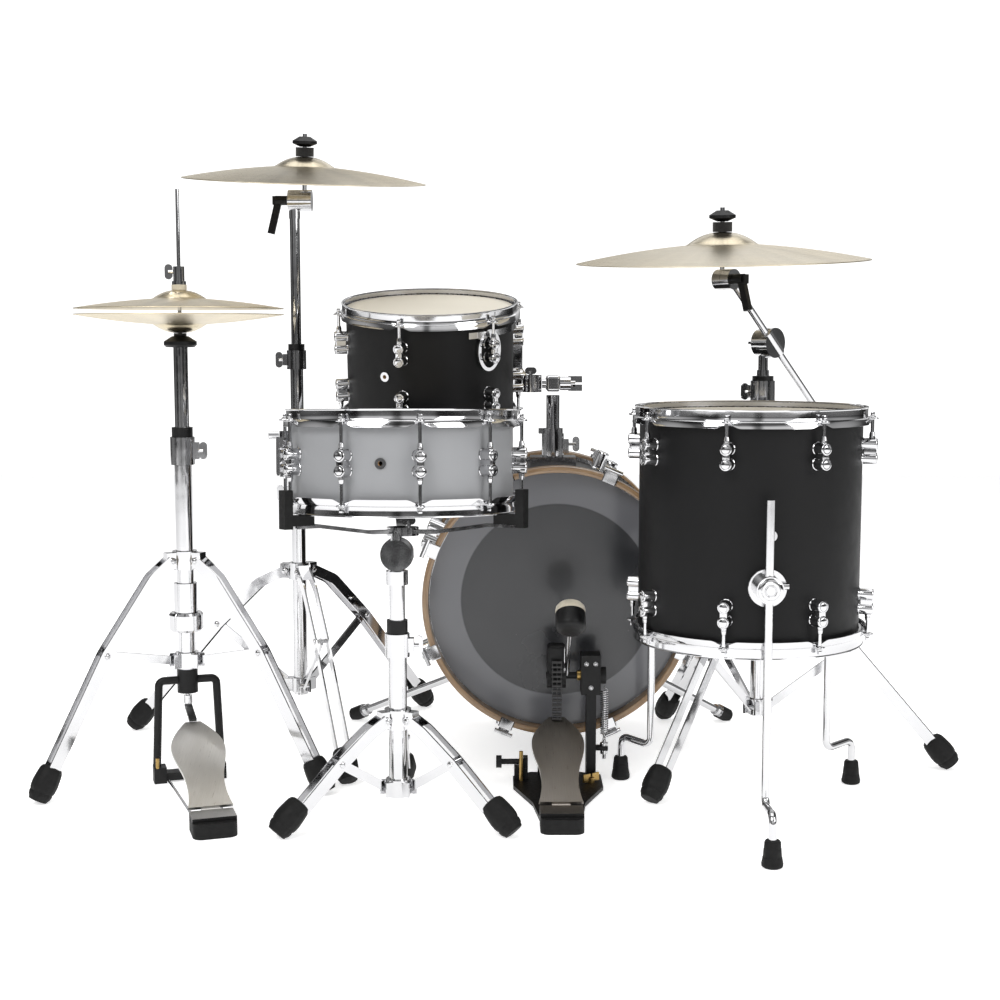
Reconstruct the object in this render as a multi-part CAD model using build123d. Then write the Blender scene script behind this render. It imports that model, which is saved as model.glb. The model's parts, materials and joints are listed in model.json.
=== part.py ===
from build123d import *
from math import atan2, cos, degrees, hypot, radians, sin
import os

# A compact acoustic drum kit: bass drum, rack tom, floor tom, snare, hi-hat, crash and ride.
# Frame: millimetres, X to the player's right, Y away from the player, Z up, floor at Z = 0.
# The origin is the middle of the kit's footprint.

# ---------------------------------------------------------------- driving sizes (mm)
INCH = 25.4
GAP = 0.3
FIT = 0.05

SHELL_T = 6.5
HEAD_T = 0.8
ROD_R = 2.8
ROD_OUT = 15.0
LUG_OUT = 24.0
LUG_R = 9.5
LUG_PITCH = 11.5
LUG_INSET = 58.0
HOOP_UP = 12.0
HOOP_DOWN = 16.0
EAR_T = 3.0

BASS_R = 9 * INCH
BASS_D = 14 * INCH
BASS_AT = (88.0, 311.0)
BASS_HOOP_R = 242.5
BASS_HOOP_T = 11.0
BASS_HOOP_W = 38.0
BASS_RECESS = 28.0
BASS_ROD_OUT = 27.0
BASS_Y0 = BASS_RECESS
BASS_Y1 = BASS_RECESS + BASS_D

TOM_R = 6 * INCH
TOM_D = 8 * INCH
TOM_AT = (-143.0, 134.0, 735.0)
TOM_TILT = 10.0
TOM_PIVOT = (45.0, 203.0, 694.0)
POST_AT = (85.0, 203.0)
POST_R = 12.5
POST_TOP = 672.0
POST_INSIDE = 60.0

FLOOR_R = 7 * INCH
FLOOR_D = 14 * INCH
FLOOR_AT = (389.0, -230.0, 483.0)
FLOOR_LEG_ANGLES = (-90.0, 134.5, 37.5)
FLOOR_LEG_R = 6.35
FLOOR_LEG_OUT = FLOOR_R + 24.0
FLOOR_FOOT_OUT = 270.0
FLOOR_BRACKET_Z = 405.0

SNARE_R = 7 * INCH
SNARE_D = 5.5 * INCH
SNARE_AT = (-172.0, -252.0, 586.0)

SNARE_STAND_AT = (-181.0, -262.0)
SNARE_TILT_Z = 434.0
SNARE_PITCH = -2.8
HAT_AT = (-567.0, -40.0)
CRASH_AT = (-404.0, 246.0)
RIDE_AT = (460.0, 78.0)

TUBE_WALL = 1.6
STRAP_W = 20.0
STRAP_T = 3.0
STRAP_GAP = 20.0
FOOT_R = 22.0
FOOT_L = 60.0

# Legs as (distance from the tube, height): collar pin, shoulder, knee at the brace, end in the foot.
SNARE_LEG = ((24, 166), (52, 150), (106, 106), (172, 42))
HAT_LEG = ((26, 394), (60, 366), (148, 240), (243, 58))
TALL_LEG = ((26, 331), (80, 306), (166, 222), (312, 52))

HAT_ANGLES = (213.0, -20.0)
CRASH_ANGLES = (169.7, 48.1, -69.3)
RIDE_ANGLES = (-9.0, 113.6, -129.6)
SNARE_ANGLES = (211.0, -29.0, 91.0)
BASKET_ANGLES = (-24.6, 95.4, 215.4)

HAT_R = 7 * INCH
CRASH_R = 9 * INCH
RIDE_R = 10 * INCH
CYMBAL_T = 1.6
CYMBAL_HOLE = 6.5

FOOTPRINT_MIDDLE = (5.02, 2.84)

PEDAL_X = 84.0
PEDAL_HINGE = (-288.0, 30.0)
AXLE = (-52.0, 190.0)
BEATER_X = 102.0
BEATER_LEAN = 48.0
BEATER_L = 192.0
HAT_PEDAL_YAW = 18.0
HAT_HINGE = (-284.0, 30.0)
FOOTBOARD_SLOPE = 21.0
FOOTBOARD_L = 236.0


# ---------------------------------------------------------------- shared shapes
def rod(start, end, radius):
    """A solid round bar between two points."""
    axis = Vector(*end) - Vector(*start)
    return Solid.make_cylinder(radius, axis.length, Plane(origin=start, z_dir=axis))


def pipe(start, end, outer, inner):
    """A round tube between two points."""
    return rod(start, end, outer) - rod(start, end, inner)


def upright(x, y, low, high, outer, inner=0.0):
    """A vertical bar or tube."""
    if inner:
        return pipe((x, y, low), (x, y, high), outer, inner)
    return rod((x, y, low), (x, y, high), outer)


def block(centre, size):
    """A box about its centre."""
    return Pos(*centre) * Box(*size)


def turned(outline):
    """A solid of revolution about Z from (radius, height) points."""
    face = make_face(Polyline(*[(r, 0, h) for r, h in outline], close=True))
    return revolve(face, Axis.Z)


def wire_rod(points, bend, radius):
    """A round bar that follows straight runs joined by arcs."""
    path = FilletPolyline(*points, radius=bend)
    section = Plane(origin=path @ 0, z_dir=path % 0) * Circle(radius)
    return sweep(section, path=path)


def strap(points, bend, width, thickness, side):
    """A flat bar standing on edge that follows points in a plane whose normal is side."""
    path = FilletPolyline(*points, radius=bend)
    plane = Plane(origin=path @ 0, x_dir=side, z_dir=path % 0)
    return sweep(plane * Rectangle(thickness, width), path=path)


def rounded(shape, radius):
    """The same solid with every edge rounded."""
    return fillet(shape.edges(), radius)


def ring_of(piece, angles):
    """Copies of a piece turned about Z."""
    return [Rot(0, 0, angle) * piece for angle in angles]


def wing_nut(grip=13.0, span=34.0):
    """A wing nut on Z, its face at Z = 0."""
    hub = Cylinder(6.0, 9.0, align=(Align.CENTER, Align.CENTER, Align.MIN))
    wing = Pos(span / 4 + 1, 0, 9) * Box(span / 2 - 2, 3.2, grip)
    return hub + wing + Rot(0, 0, 180) * wing


def t_screw(length=16.0, span=30.0):
    """A thumb screw on Z with a flat two-lobed head."""
    shank = Cylinder(3.5, length, align=(Align.CENTER, Align.CENTER, Align.MIN))
    head = Pos(0, 0, length) * Rot(90, 0, 0) * extrude(SlotOverall(span, 13.0), 2.2, both=True)
    return shank + head


def aim(origin, direction):
    """The location that puts local Z along a direction."""
    return Plane(origin=origin, z_dir=direction).location


def save(node, *pieces):
    """Write one node about the footprint's middle, each piece a solid of its own."""
    to_origin = Pos(-FOOTPRINT_MIDDLE[0], -FOOTPRINT_MIDDLE[1], 0)
    solids = []
    for piece in pieces:
        for part in piece if isinstance(piece, (list, tuple, ShapeList)) else [piece]:
            solids.extend(to_origin * solid for solid in part.solids())
    export_step(Compound(solids), os.path.join("parts", node + ".step"))


# ---------------------------------------------------------------- drums
def drum_shell(radius, depth, vent_angle):
    """An open shell with one air vent through its wall, and the vent's grommet."""
    shell = Cylinder(radius, depth) - Cylinder(radius - SHELL_T, depth)
    toward = (cos(radians(vent_angle)), sin(radians(vent_angle)), 0)
    wall_mid = Vector(*toward) * (radius - SHELL_T / 2)
    bore = aim(wall_mid, toward) * Cylinder(6.0, 3 * SHELL_T)
    flange = aim(Vector(*toward) * (radius + 0.6), toward) * Cylinder(8.5, 3.0)
    sleeve = aim(wall_mid, toward) * Cylinder(6.0, SHELL_T + 4)
    passage = aim(wall_mid, toward) * Cylinder(3.6, 6 * SHELL_T)
    shell = shell - bore - flange
    return shell, flange + sleeve - passage


def drum_head(radius, depth):
    """A stretched film over the top edge with its collar and flesh hoop."""
    top = depth / 2
    return turned(
        [
            (0, top),
            (radius + 0.6, top),
            (radius + 0.6, top - 12),
            (radius + 4.2, top - 12),
            (radius + 4.2, top - 6),
            (radius + 1.5, top - 6),
            (radius + 1.5, top + HEAD_T),
            (0, top + HEAD_T),
        ]
    )


def steel_hoop(radius, depth, angles):
    """A flanged steel hoop with scallops and one ear at each tension rod."""
    top = depth / 2
    inner = radius + 4.8
    hoop = turned(
        [
            (inner, top - 7.5),
            (inner, top + HOOP_UP - 2),
            (inner - 1.6, top + HOOP_UP),
            (inner + 3.4, top + HOOP_UP),
            (inner + 2.3, top + HOOP_UP - 3),
            (inner + 2.3, top - 4),
            (inner + 6.0, top - 6),
            (inner + 7.4, top - HOOP_DOWN),
            (inner + 5.4, top - HOOP_DOWN),
            (inner + 4.2, top - 7.5),
        ]
    )
    out = radius + ROD_OUT
    notch = Pos(out, 0, top - HOOP_DOWN - 19.5) * Rot(0, 90, 0) * Cylinder(26.0, 40)
    hoop = hoop - ring_of(notch, angles)
    tab = Pos(out, 0, top - 6) * Box(2 * (out - inner - 1), 15, EAR_T)
    hole = Pos(out, 0, top - 6) * Cylinder(ROD_R + 0.4, 4 * EAR_T)
    ears = ring_of(tab, angles)
    holes = ring_of(hole, angles)
    return hoop + ears - holes


def drum_lug(radius, height):
    """A two-turret lug standing on the shell at angle zero, bored for the tension rod."""
    lug = None
    for offset in (-LUG_PITCH, LUG_PITCH):
        turret = Pos(radius, 0, height + offset) * Rot(0, 90, 0) * Cylinder(LUG_R, 2 * LUG_OUT)
        lug = turret if lug is None else lug + turret
    lug = lug + Pos(radius, 0, height) * Box(2 * (LUG_OUT - 3), 12, 2 * LUG_PITCH)
    bore = Pos(radius + ROD_OUT, 0, height) * Cylinder(ROD_R + FIT, 4 * LUG_PITCH + 2 * LUG_R)
    return lug - Cylinder(radius, 4 * radius) - bore


def tension_rod(radius, depth, lug_height):
    """A key rod from above the hoop's ear down into the lug, with its washer and swivel collar."""
    ear = depth / 2 - 6 + EAR_T / 2
    out = radius + ROD_OUT
    end = lug_height - 6
    body = Pos(out, 0, (ear + end) / 2) * Cylinder(ROD_R, ear - end)
    washer = Pos(out, 0, ear + 1) * Cylinder(5.6, 2)
    head = Pos(out, 0, ear + 5.5) * Box(6, 6, 7)
    lug_top = lug_height + LUG_PITCH + LUG_R
    collar = Pos(out, 0, lug_top + 5.2) * Cone(5.0, 3.8, 10)
    return body + washer + head + collar


def lug_ring(radius, depth, angles, shared):
    """All lugs of one drum: a row for each head, or one row at mid depth that both heads share."""
    heights = [0] if shared else [depth / 2 - LUG_INSET, LUG_INSET - depth / 2]
    return [lug for h in heights for lug in ring_of(drum_lug(radius, h), angles)]


def rod_ring(radius, depth, angles, shared):
    """Tension rods for both heads."""
    height = 0 if shared else depth / 2 - LUG_INSET
    upper = tension_rod(radius, depth, height)
    flip = Rot(180, 0, 0)
    return ring_of(upper, angles) + [flip * r for r in ring_of(upper, [-a for a in angles])]


def tunable_drum(name, place, radius, depth, angles, shared=False, vent_angle=-90.0):
    """The nodes that every tunable drum has."""
    shell, vent = drum_shell(radius, depth, vent_angle)
    head = drum_head(radius, depth)
    hoop = steel_hoop(radius, depth, angles)
    low_hoop = steel_hoop(radius, depth, [-a for a in angles])
    flip = Rot(180, 0, 0)
    save(name + "_shell", place * shell, place * vent)
    save(name + "_heads", place * head, place * flip * head)
    save(name + "_hoops", place * hoop, place * flip * low_hoop)
    save(name + "_lugs", [place * lug for lug in lug_ring(radius, depth, angles, shared)])
    save(name + "_tension_rods", [place * r for r in rod_ring(radius, depth, angles, shared)])


# ---------------------------------------------------------------- bass drum
def bass_place(angle=0.0):
    """Drum-local Z becomes the bass drum's depth direction; angle turns about that axis."""
    return Pos(BASS_AT[0], 0, BASS_AT[1]) * Rot(-90, 0, 0) * Rot(0, 0, angle)


def bass_head():
    """The film with its collar and flesh hoop, batter side, along local Z."""
    film = BASS_Y0
    return turned(
        [
            (0, film),
            (0, film - 1),
            (BASS_R + 2, film - 1),
            (BASS_R + 2, film + 10.3),
            (BASS_R + 8, film + 10.3),
            (BASS_R + 8, film + 17),
            (BASS_R + 0.6, film + 17),
            (BASS_R + 0.6, film),
        ]
    )


def bass_claw():
    """A claw hook over the hoop at angle zero, with its ear for the T-rod."""
    out = BASS_HOOP_R + 0.4
    back = Pos(out + 2.5, 0, 19) * Box(5, 26, 44)
    lip = Pos(out - 4, 0, -1.8) * Box(16, 26, 2.8)
    ear = Pos(out + 8, 0, 6) * Box(14, 20, 12)
    hole = Pos(BASS_R + BASS_ROD_OUT, 0, 6) * Cylinder(3.6, 20)
    round_off = Pos(BASS_HOOP_R, 0, 0) * Rot(0, 90, 0) * Cylinder(24, 80)
    return ((back + lip + ear) & (Pos(0, 0, 18) * round_off)) - hole


def bass_t_rod():
    """A T-handled rod from the claw into its lug."""
    out = BASS_R + BASS_ROD_OUT
    body = Pos(out, 0, 38) * Cylinder(3.2, 86)
    bar = Pos(out, 0, -8) * Rot(90, 0, 0) * Cylinder(4, 34)
    washer = Pos(out, 0, -1.5) * Cylinder(6, 3)
    return body + bar + washer


def bass_lug():
    """A tall two-turret lug on the shell at angle zero."""
    height = BASS_Y0 + 62
    lug = None
    for offset in (-14.0, 14.0):
        turret = Pos(BASS_R, 0, height + offset) * Rot(0, 90, 0) * Cylinder(12, 74)
        lug = turret if lug is None else lug + turret
    lug = lug + Pos(BASS_R, 0, height) * Box(68, 14, 28)
    bore = Pos(BASS_R + BASS_ROD_OUT, 0, height) * Cylinder(3.2 + FIT, 90)
    return lug - Cylinder(BASS_R, 4 * BASS_R) - bore


def bass_drum():
    """Shell, heads, wooden hoops, claws and lugs."""
    mid = (BASS_Y0 + BASS_Y1) / 2
    mirror_end = Pos(0, 0, 2 * mid) * Rot(180, 0, 0)
    place = bass_place()
    tube = place * Pos(0, 0, mid) * (Cylinder(BASS_R, BASS_D) - Cylinder(BASS_R - SHELL_T, BASS_D))
    tube = tube - upright(*POST_AT, BASS_AT[1], BASS_AT[1] + BASS_R + 5, POST_R + 1.5)
    hoop = turned(
        [
            (BASS_HOOP_R - BASS_HOOP_T, 0),
            (BASS_HOOP_R, 0),
            (BASS_HOOP_R, BASS_HOOP_W),
            (BASS_HOOP_R - BASS_HOOP_T, BASS_HOOP_W),
        ]
    )
    head = bass_head()
    angles = [22.5 + 45 * k for k in range(8)]
    ends = (Location(), mirror_end)
    claws = [place * e * Rot(0, 0, a) * bass_claw() for e in ends for a in angles]
    rods = [place * e * Rot(0, 0, a) * bass_t_rod() for e in ends for a in angles]
    lugs = [place * e * Rot(0, 0, a) * bass_lug() for e in ends for a in angles]
    save("bass_shell", tube)
    save("bass_heads", place * head, place * mirror_end * head)
    save("bass_hoops", place * hoop, place * mirror_end * hoop)
    save("bass_claws", claws, rods)
    save("bass_lugs", lugs)


SPUR_FEET = {"left": (-309.0, 391.0), "right": (446.0, 383.0)}
SPUR_Y = 228.0
SPUR_SINK = 45.0
SPUR_OUT = BASS_R + 26.0


def spur_pivot(side):
    """Where a spur leaves its bracket on the bass shell."""
    sign = -1 if side == "left" else 1
    x = BASS_AT[0] + sign * SPUR_OUT * cos(radians(SPUR_SINK))
    z = BASS_AT[1] - SPUR_OUT * sin(radians(SPUR_SINK))
    return (x, SPUR_Y, z)


def spur_bracket(side):
    """A round base on the shell that carries the spur's hinge."""
    sign = -1 if side == "left" else 1
    outward = (sign * cos(radians(SPUR_SINK)), 0, -sin(radians(SPUR_SINK)))
    centre = Vector(BASS_AT[0], SPUR_Y, BASS_AT[1]) + Vector(*outward) * (BASS_R + 5)
    base = aim(centre, outward) * Cylinder(27, 14)
    neck = aim(centre + Vector(*outward) * 3, outward) * Cylinder(15, 16)
    shell = Pos(BASS_AT[0], SPUR_Y, BASS_AT[1]) * Rot(90, 0, 0) * Cylinder(BASS_R, 90)
    return base + neck - shell


def spur(side):
    """One spur: hub, rod, ring nut and rubber tip that stands on the floor."""
    pivot = Vector(*spur_pivot(side))
    sign = -1 if side == "left" else 1
    outward = Vector(sign * cos(radians(SPUR_SINK)), 0, -sin(radians(SPUR_SINK)))
    foot = Vector(*SPUR_FEET[side], 12)
    along = (foot - pivot).normalized()
    hub = aim(pivot, outward) * Cylinder(14, 19)
    leg = rod(tuple(pivot), tuple(foot - along * 24), 7.5)
    nut = rod(tuple(foot - along * 36), tuple(foot - along * 24), 11)
    tip = rod(tuple(foot - along * 24), tuple(foot + along * 8), 14)
    floor_half = Pos(foot.X, foot.Y, 250) * Box(400, 400, 500)
    screw = aim(pivot + outward * 9.5, outward) * t_screw(8.0, 30.0)
    save("bass_spur_" + side, hub + leg + nut + screw, (tip - rod(tuple(pivot), tuple(foot - along * 24), 7.5)) & floor_half)


def shell_brackets():
    """Spur brackets and the tom post's bracket, all on the bass shell."""
    top = BASS_AT[1] + BASS_R
    x, y = POST_AT
    plate = block((x, y, top + 6), (86, 62, 22)) - (
        Pos(BASS_AT[0], y, BASS_AT[1]) * Rot(90, 0, 0) * Cylinder(BASS_R, 90)
    )
    tower = upright(x, y, top + 8, top + 60, 21)
    jaw = block((x + 22, y, top + 36), (16, 20, 26))
    bore = upright(x, y, top - 30, top + 90, POST_R + FIT)
    bracket = plate + tower + jaw - bore
    screw = aim((x + 30, y, top + 40), (1, 0, 0)) * t_screw(14.0, 28.0)
    memory = upright(x, y, top + 60, top + 70, 19) - bore
    ear = block((x - 21, y, top + 65), (12, 12, 10))
    save("bass_shell_brackets", spur_bracket("left"), spur_bracket("right"), bracket, screw, memory + (ear - bore))


# ---------------------------------------------------------------- rack tom on its post
def tom_mount():
    """Post, T-head with ball clamp and arm, and the suspension bracket on the shell."""
    x, y = POST_AT
    top = BASS_AT[1] + BASS_R
    px, py, pz = TOM_PIVOT
    post = upright(x, y, top - POST_INSIDE, POST_TOP, POST_R)
    tee = rounded(block((x, y, pz), (27, 30, 30)), 5)
    socket = rod((x - 13, y, pz), (px + 19.5, y, pz), 9)
    clamp = rod((x + 13, y, pz), (x + 33, y, pz), 13)
    wing = aim((x + 33, y, pz), (1, 0, 0)) * wing_nut(26.0, 28.0)
    save("tom_post", post + tee + socket + clamp, wing)

    ball = Pos(px, py, pz) * Cylinder(18.5, 32)
    stud = Pos(px - 2, py, pz + 16) * t_screw(8.0, 22.0)
    place = tom_place()
    mount_angle = 24.0
    outward = Vector(cos(radians(mount_angle)), sin(radians(mount_angle)), 0)
    pad_mid = (place * Pos(*(outward * (TOM_R + 9)))).position
    arm = rod((px - 6, py, pz), tuple(pad_mid), 6.3)
    plate = Rot(0, 0, mount_angle) * Pos(TOM_R + 8, 0, 0) * Box(18, 74, 30)
    plate = plate + Rot(0, 0, mount_angle) * Pos(TOM_R + 12, 0, 0) * Box(26, 40, 46)
    band = Cylinder(TOM_R + 5.5, 11) - Cylinder(TOM_R, 12)
    reach = make_face(Polyline((0, 0), *[(300 * cos(radians(a)), 300 * sin(radians(a))) for a in (-62, -30, 5, 38)], close=True))
    band = Pos(0, 0, 73) * (band & extrude(reach, 20, both=True))
    hanger = Rot(0, 0, mount_angle) * Pos(TOM_R + 2, 0, 48) * Box(9, 30, 52)
    pad = Rot(0, 0, LUG_RING_ANGLE) * Pos(TOM_R, 0, 43.6) * Rot(0, 90, 0) * lug_ring_pad()
    link = Rot(0, 0, LUG_RING_ANGLE - 4) * Pos(TOM_R + 2, 0, 72) * Box(9, 30, 12)
    plate = place * (plate + hanger + band + pad + link - Cylinder(TOM_R, TOM_D))
    save("tom_arm", ball + arm - plate, stud)
    save("tom_mount_plate", plate)


LUG_RING_ANGLE = -46.0


def lug_ring_pad():
    """The oval isolation ring that surrounds one lug, its axis on local Z."""
    outer = extrude(Ellipse(37, 27), 6)
    return outer - extrude(Ellipse(31, 20), 6)


def tom_place():
    """Where the rack tom hangs."""
    return Pos(*TOM_AT) * Rot(TOM_TILT, 0, 0)


TOM_ANGLES = [-106.0 + 60 * k for k in range(6)]
FLOOR_ANGLES = [-109.5 + 45 * k for k in range(8)]
SNARE_LUG_ANGLES = [-78.6 + 36 * k for k in range(10)]


# ---------------------------------------------------------------- floor tom
def floor_tom():
    """The floor tom with its brackets and bent legs; gives back its rubber feet."""
    place = Pos(*FLOOR_AT)
    tunable_drum("floor_tom", place, FLOOR_R, FLOOR_D, FLOOR_ANGLES, vent_angle=-88.0)
    brackets = []
    legs = []
    feet = []
    height = FLOOR_BRACKET_Z - FLOOR_AT[2]
    for angle in FLOOR_LEG_ANGLES:
        base = Pos(FLOOR_R + 4, 0, height) * Rot(0, 90, 0) * Cylinder(29, 14)
        dome = Pos(FLOOR_LEG_OUT - 4, 0, height) * Rot(0, 90, 0) * Cylinder(21, 34)
        key = Pos(FLOOR_LEG_OUT - 4, 24, height + 4) * Rot(90, 0, 0) * Cylinder(4.5, 12)
        bore = Pos(FLOOR_LEG_OUT, 0, height) * Cylinder(FLOOR_LEG_R + FIT, 90)
        bracket = base + dome + key - bore - Cylinder(FLOOR_R, FLOOR_D)
        brackets.append(place * Rot(0, 0, angle) * bracket)
        leg = wire_rod(
            [
                (FLOOR_LEG_OUT, 0, 540),
                (FLOOR_LEG_OUT, 0, 73),
                (FLOOR_FOOT_OUT - 1, 0, 78),
                (FLOOR_FOOT_OUT, 0, 20),
            ],
            14.0,
            FLOOR_LEG_R,
        )
        foot = turned([(0, 0), (14, 0), (16.5, 4), (12.5, 40), (0, 40)])
        spot = Pos(FLOOR_AT[0], FLOOR_AT[1], 0) * Rot(0, 0, angle)
        legs.append(spot * leg)
        feet.append(spot * (Pos(FLOOR_FOOT_OUT, 0, 0) * foot - leg))
    save("floor_tom_leg_brackets", brackets)
    save("floor_tom_legs", legs)
    return feet


# ---------------------------------------------------------------- stands
def foot_line(leg):
    """Unit direction of a leg's last run in its own (out, height) plane."""
    (s0, z0), (s1, z1) = leg[-2], leg[-1]
    length = hypot(s1 - s0, z1 - z0)
    return (s1 - s0) / length, (z1 - z0) / length


def stand_foot(leg):
    """The rounded rubber foot at the end of one leg, cut flat where it meets the floor."""
    ds, dz = foot_line(leg)
    s, z = leg[-1]
    body = turned([(0, 0), (17, 0), (22, 8), (FOOT_R, 24), (FOOT_R, FOOT_L - 14), (17, FOOT_L), (0, FOOT_L)])
    placed = aim((s, 0, z), (ds, 0, dz)) * body
    lowest = placed.bounding_box().min.Z
    sunk = Pos(0, 0, -lowest - 2.0) * placed
    return sunk & (Pos(s, 0, 200) * Box(400, 200, 400)) - leg_straps(leg)


def leg_straps(leg):
    """Two parallel straps from the collar to the foot."""
    points = [(s, 0, z) for s, z in leg]
    middle = strap(points, 40.0, STRAP_W, STRAP_T, (0, 1, 0))
    offset = STRAP_GAP / 2 + STRAP_T / 2
    return [Pos(0, side * offset, 0) * middle for side in (-1, 1)]


def brace(leg, low_pin):
    """The link between the lower collar and a leg's knee, with its two cross pins."""
    knee = (leg[2][0], 0, leg[2][1])
    start = (low_pin[0], 0, low_pin[1])
    link = strap_between(start, knee, 15.0, 5.0)
    pins = [Pos(*p) * Rot(90, 0, 0) * Cylinder(4.0, STRAP_GAP) for p in (start, knee)]
    return link + pins


def strap_between(start, end, width, thickness):
    """A straight flat link between two points in the XZ plane."""
    axis = Vector(*end) - Vector(*start)
    plane = Plane(origin=start, x_dir=(0, 1, 0), z_dir=axis)
    return extrude(plane * Rectangle(thickness, width), axis.length)


def collar(height, half, outer, inner, angles, pin_out, split):
    """A ring round a tube with an ear, or a pair of ears, for each leg or brace."""
    ring = upright(0, 0, height - half, height + half, outer, inner)
    bore = upright(0, 0, height - half, height + half, inner)
    for angle in angles:
        if split:
            for side in (-1, 1):
                offset = side * (STRAP_GAP / 2 + STRAP_T / 2)
                ear = Pos(pin_out / 2 + 4, offset, height) * Box(pin_out + 8, STRAP_T, 2 * half - 4)
                ring = ring + Rot(0, 0, angle) * ear
        else:
            ear = Pos(pin_out / 2 + 5, 0, height) * Box(pin_out + 10, STRAP_GAP, 2 * half - 4)
            ring = ring + Rot(0, 0, angle) * ear
    return ring - bore


def clamp(height, half, outer, inner, turn, lock=0.0):
    """A tube clamp with its wing screw and, if asked for, the plastic lock ring on top."""
    jaw = upright(0, 0, height - half, height + half, outer, inner)
    ear = Pos(outer, 0, height) * Box(14, 16, half * 1.2)
    bore = upright(0, 0, height - half, height + half, inner)
    screw = aim((outer + 7, 0, height), (1, 0, 0)) * t_screw(8.0, 30.0)
    place = Rot(0, 0, turn)
    solids = [place * (jaw + ear - bore), place * screw]
    if lock:
        solids.append(upright(0, 0, height + half, height + half + lock, outer - 3, inner))
    return solids


def tripod(node, at, leg, angles, low_z, tube_low, tube_high, tube_r, extra):
    """Base tube, collars, straps and braces of one stand."""
    pin = (20.0, low_z)
    solids = [upright(0, 0, tube_low, tube_high, tube_r, tube_r - TUBE_WALL)]
    solids.append(collar(leg[0][1], 16, tube_r + 7, tube_r, angles, leg[0][0], False))
    solids.append(collar(low_z, 14, tube_r + 5, tube_r, angles, pin[0], True))
    for angle in angles:
        solids.extend(Rot(0, 0, angle) * s for s in leg_straps(leg))
        solids.append(Rot(0, 0, angle) * brace(leg, pin))
    solids.extend(extra)
    place = Pos(at[0], at[1], 0)
    save(node, [place * s for s in solids])


def stand_feet(at, leg, angles):
    """The rubber feet of one stand."""
    foot = stand_foot(leg)
    return [Pos(at[0], at[1], 0) * Rot(0, 0, a) * foot for a in angles]


def cymbal(radius, bell_r, bell_h, rise, hole=CYMBAL_HOLE):
    """A bowed cymbal with a bell and a centre hole, its edge at Z = 0."""
    top = bell_h + rise

    def surface(drop):
        bow = Spline(
            (bell_r, 0, rise - drop),
            (radius * 0.6, 0, rise * 0.62 - drop),
            (radius, 0, -drop),
            tangents=((1, 0, -0.12), (1, 0, -0.42)),
        )
        bell = Spline(
            (hole, 0, top - drop),
            (bell_r * 0.62, 0, rise + bell_h * 0.72 - drop),
            (bell_r, 0, rise - drop),
            tangents=((1, 0, -0.02), (1, 0, -0.35)),
        )
        return bell, bow

    upper_bell, upper_bow = surface(0)
    lower_bell, lower_bow = surface(CYMBAL_T)
    edge = Line(upper_bow @ 1, lower_bow @ 1)
    inner = Line(upper_bell @ 0, lower_bell @ 0)
    return revolve(make_face([upper_bell, upper_bow, edge, lower_bow, lower_bell, inner]), Axis.Z)


def cymbal_stem(felt_z):
    """Stem, sleeve, cup washer and felts that hold a cymbal at felt_z on local Z."""
    shaft = upright(0, 0, 0, felt_z + 42, 4.0)
    seat = upright(0, 0, felt_z - 16, felt_z - 11, 14)
    low_felt = upright(0, 0, felt_z - 11, felt_z - CYMBAL_T - GAP, 13, 4.0)
    high_felt = upright(0, 0, felt_z + GAP, felt_z + 17, 17, 4.0)
    cap = turned([(4, 0), (9, 0), (23, 6), (23, 11), (10, 19), (4, 19)])
    return [shaft + seat, low_felt, high_felt, Pos(0, 0, felt_z + 18) * cap]


def half_drum(side, radius=20.0, length=22.0):
    """One half of a toothed tilter drum on the X axis."""
    return Pos(side * (length / 2 + GAP / 2), 0, 0) * Rot(0, 90, 0) * Cylinder(radius, length)


def l_lever(reach=62.0):
    """A bent plastic clamp lever: hub on the X axis, handle hanging down."""
    hub = Rot(0, 90, 0) * Cylinder(9, 22)
    handle = strap_between((-6, 0, -4), (-20, 0, -reach), 13.0, 9.0)
    knob = Pos(-8, 0, 0) * Box(16, 12, 16)
    return hub + handle + knob


CRASH_TILT_AT = (CRASH_AT[0] + 11.0, CRASH_AT[1], 1038.0)
CRASH_LEAN = (7.0, 2.0)


def crash_stand():
    """Tripod, tubes, tilter and cymbal of the crash stand."""
    middle = [upright(0, 0, 395, 720, 12.3, 10.4)]
    fixed = middle + clamp(482, 20, 20, 12.3, 180) + clamp(738, 18, 18.5, 9.5 + FIT, 180, 12.0)
    tripod("crash_tripod", CRASH_AT, TALL_LEG, CRASH_ANGLES, 107, 88, 462, 14.0, fixed)

    x, y, z = CRASH_TILT_AT
    tube = upright(CRASH_AT[0], CRASH_AT[1], 620, 1004, 9.5, 8.0)
    neck = upright(CRASH_AT[0], CRASH_AT[1], 1004, 1030, 10.5)
    lower = Pos(x, y, z) * half_drum(-1)
    lever = Pos(x - 36, y, z) * l_lever()
    save("crash_upper_tube", tube, neck + lower, lever)

    stem_lean = Rot(*CRASH_LEAN, 0)
    place = Pos(x + 8, y, z) * stem_lean
    upper = Pos(x, y, z) * half_drum(1)
    pieces = cymbal_stem(81.0)
    root = place * pieces[0] + upper
    save("crash_tilter", root, [place * p for p in pieces[1:]])
    plate = Pos(0, 0, 81.0 - 44.0) * cymbal(CRASH_R, 56.0, 19.0, 25.0)
    save("crash_cymbal", place * plate)


BOOM_DIR = Vector(-0.55, -0.48, 0.683).normalized()
BOOM_AXIS = Vector(0.48, -0.55, 0.0).normalized()
BOOM_PIVOT = Vector(RIDE_AT[0], RIDE_AT[1], 771.0) + BOOM_AXIS * 9.3
BOOM_UP = 161.0
BOOM_BACK = 205.0
BOOM_SIDE = 11.0
RIDE_TILT_AT = BOOM_PIVOT + BOOM_DIR * BOOM_UP + BOOM_AXIS * (BOOM_SIDE - 9.3)
RIDE_LEAN = (4.4, -1.2)


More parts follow.
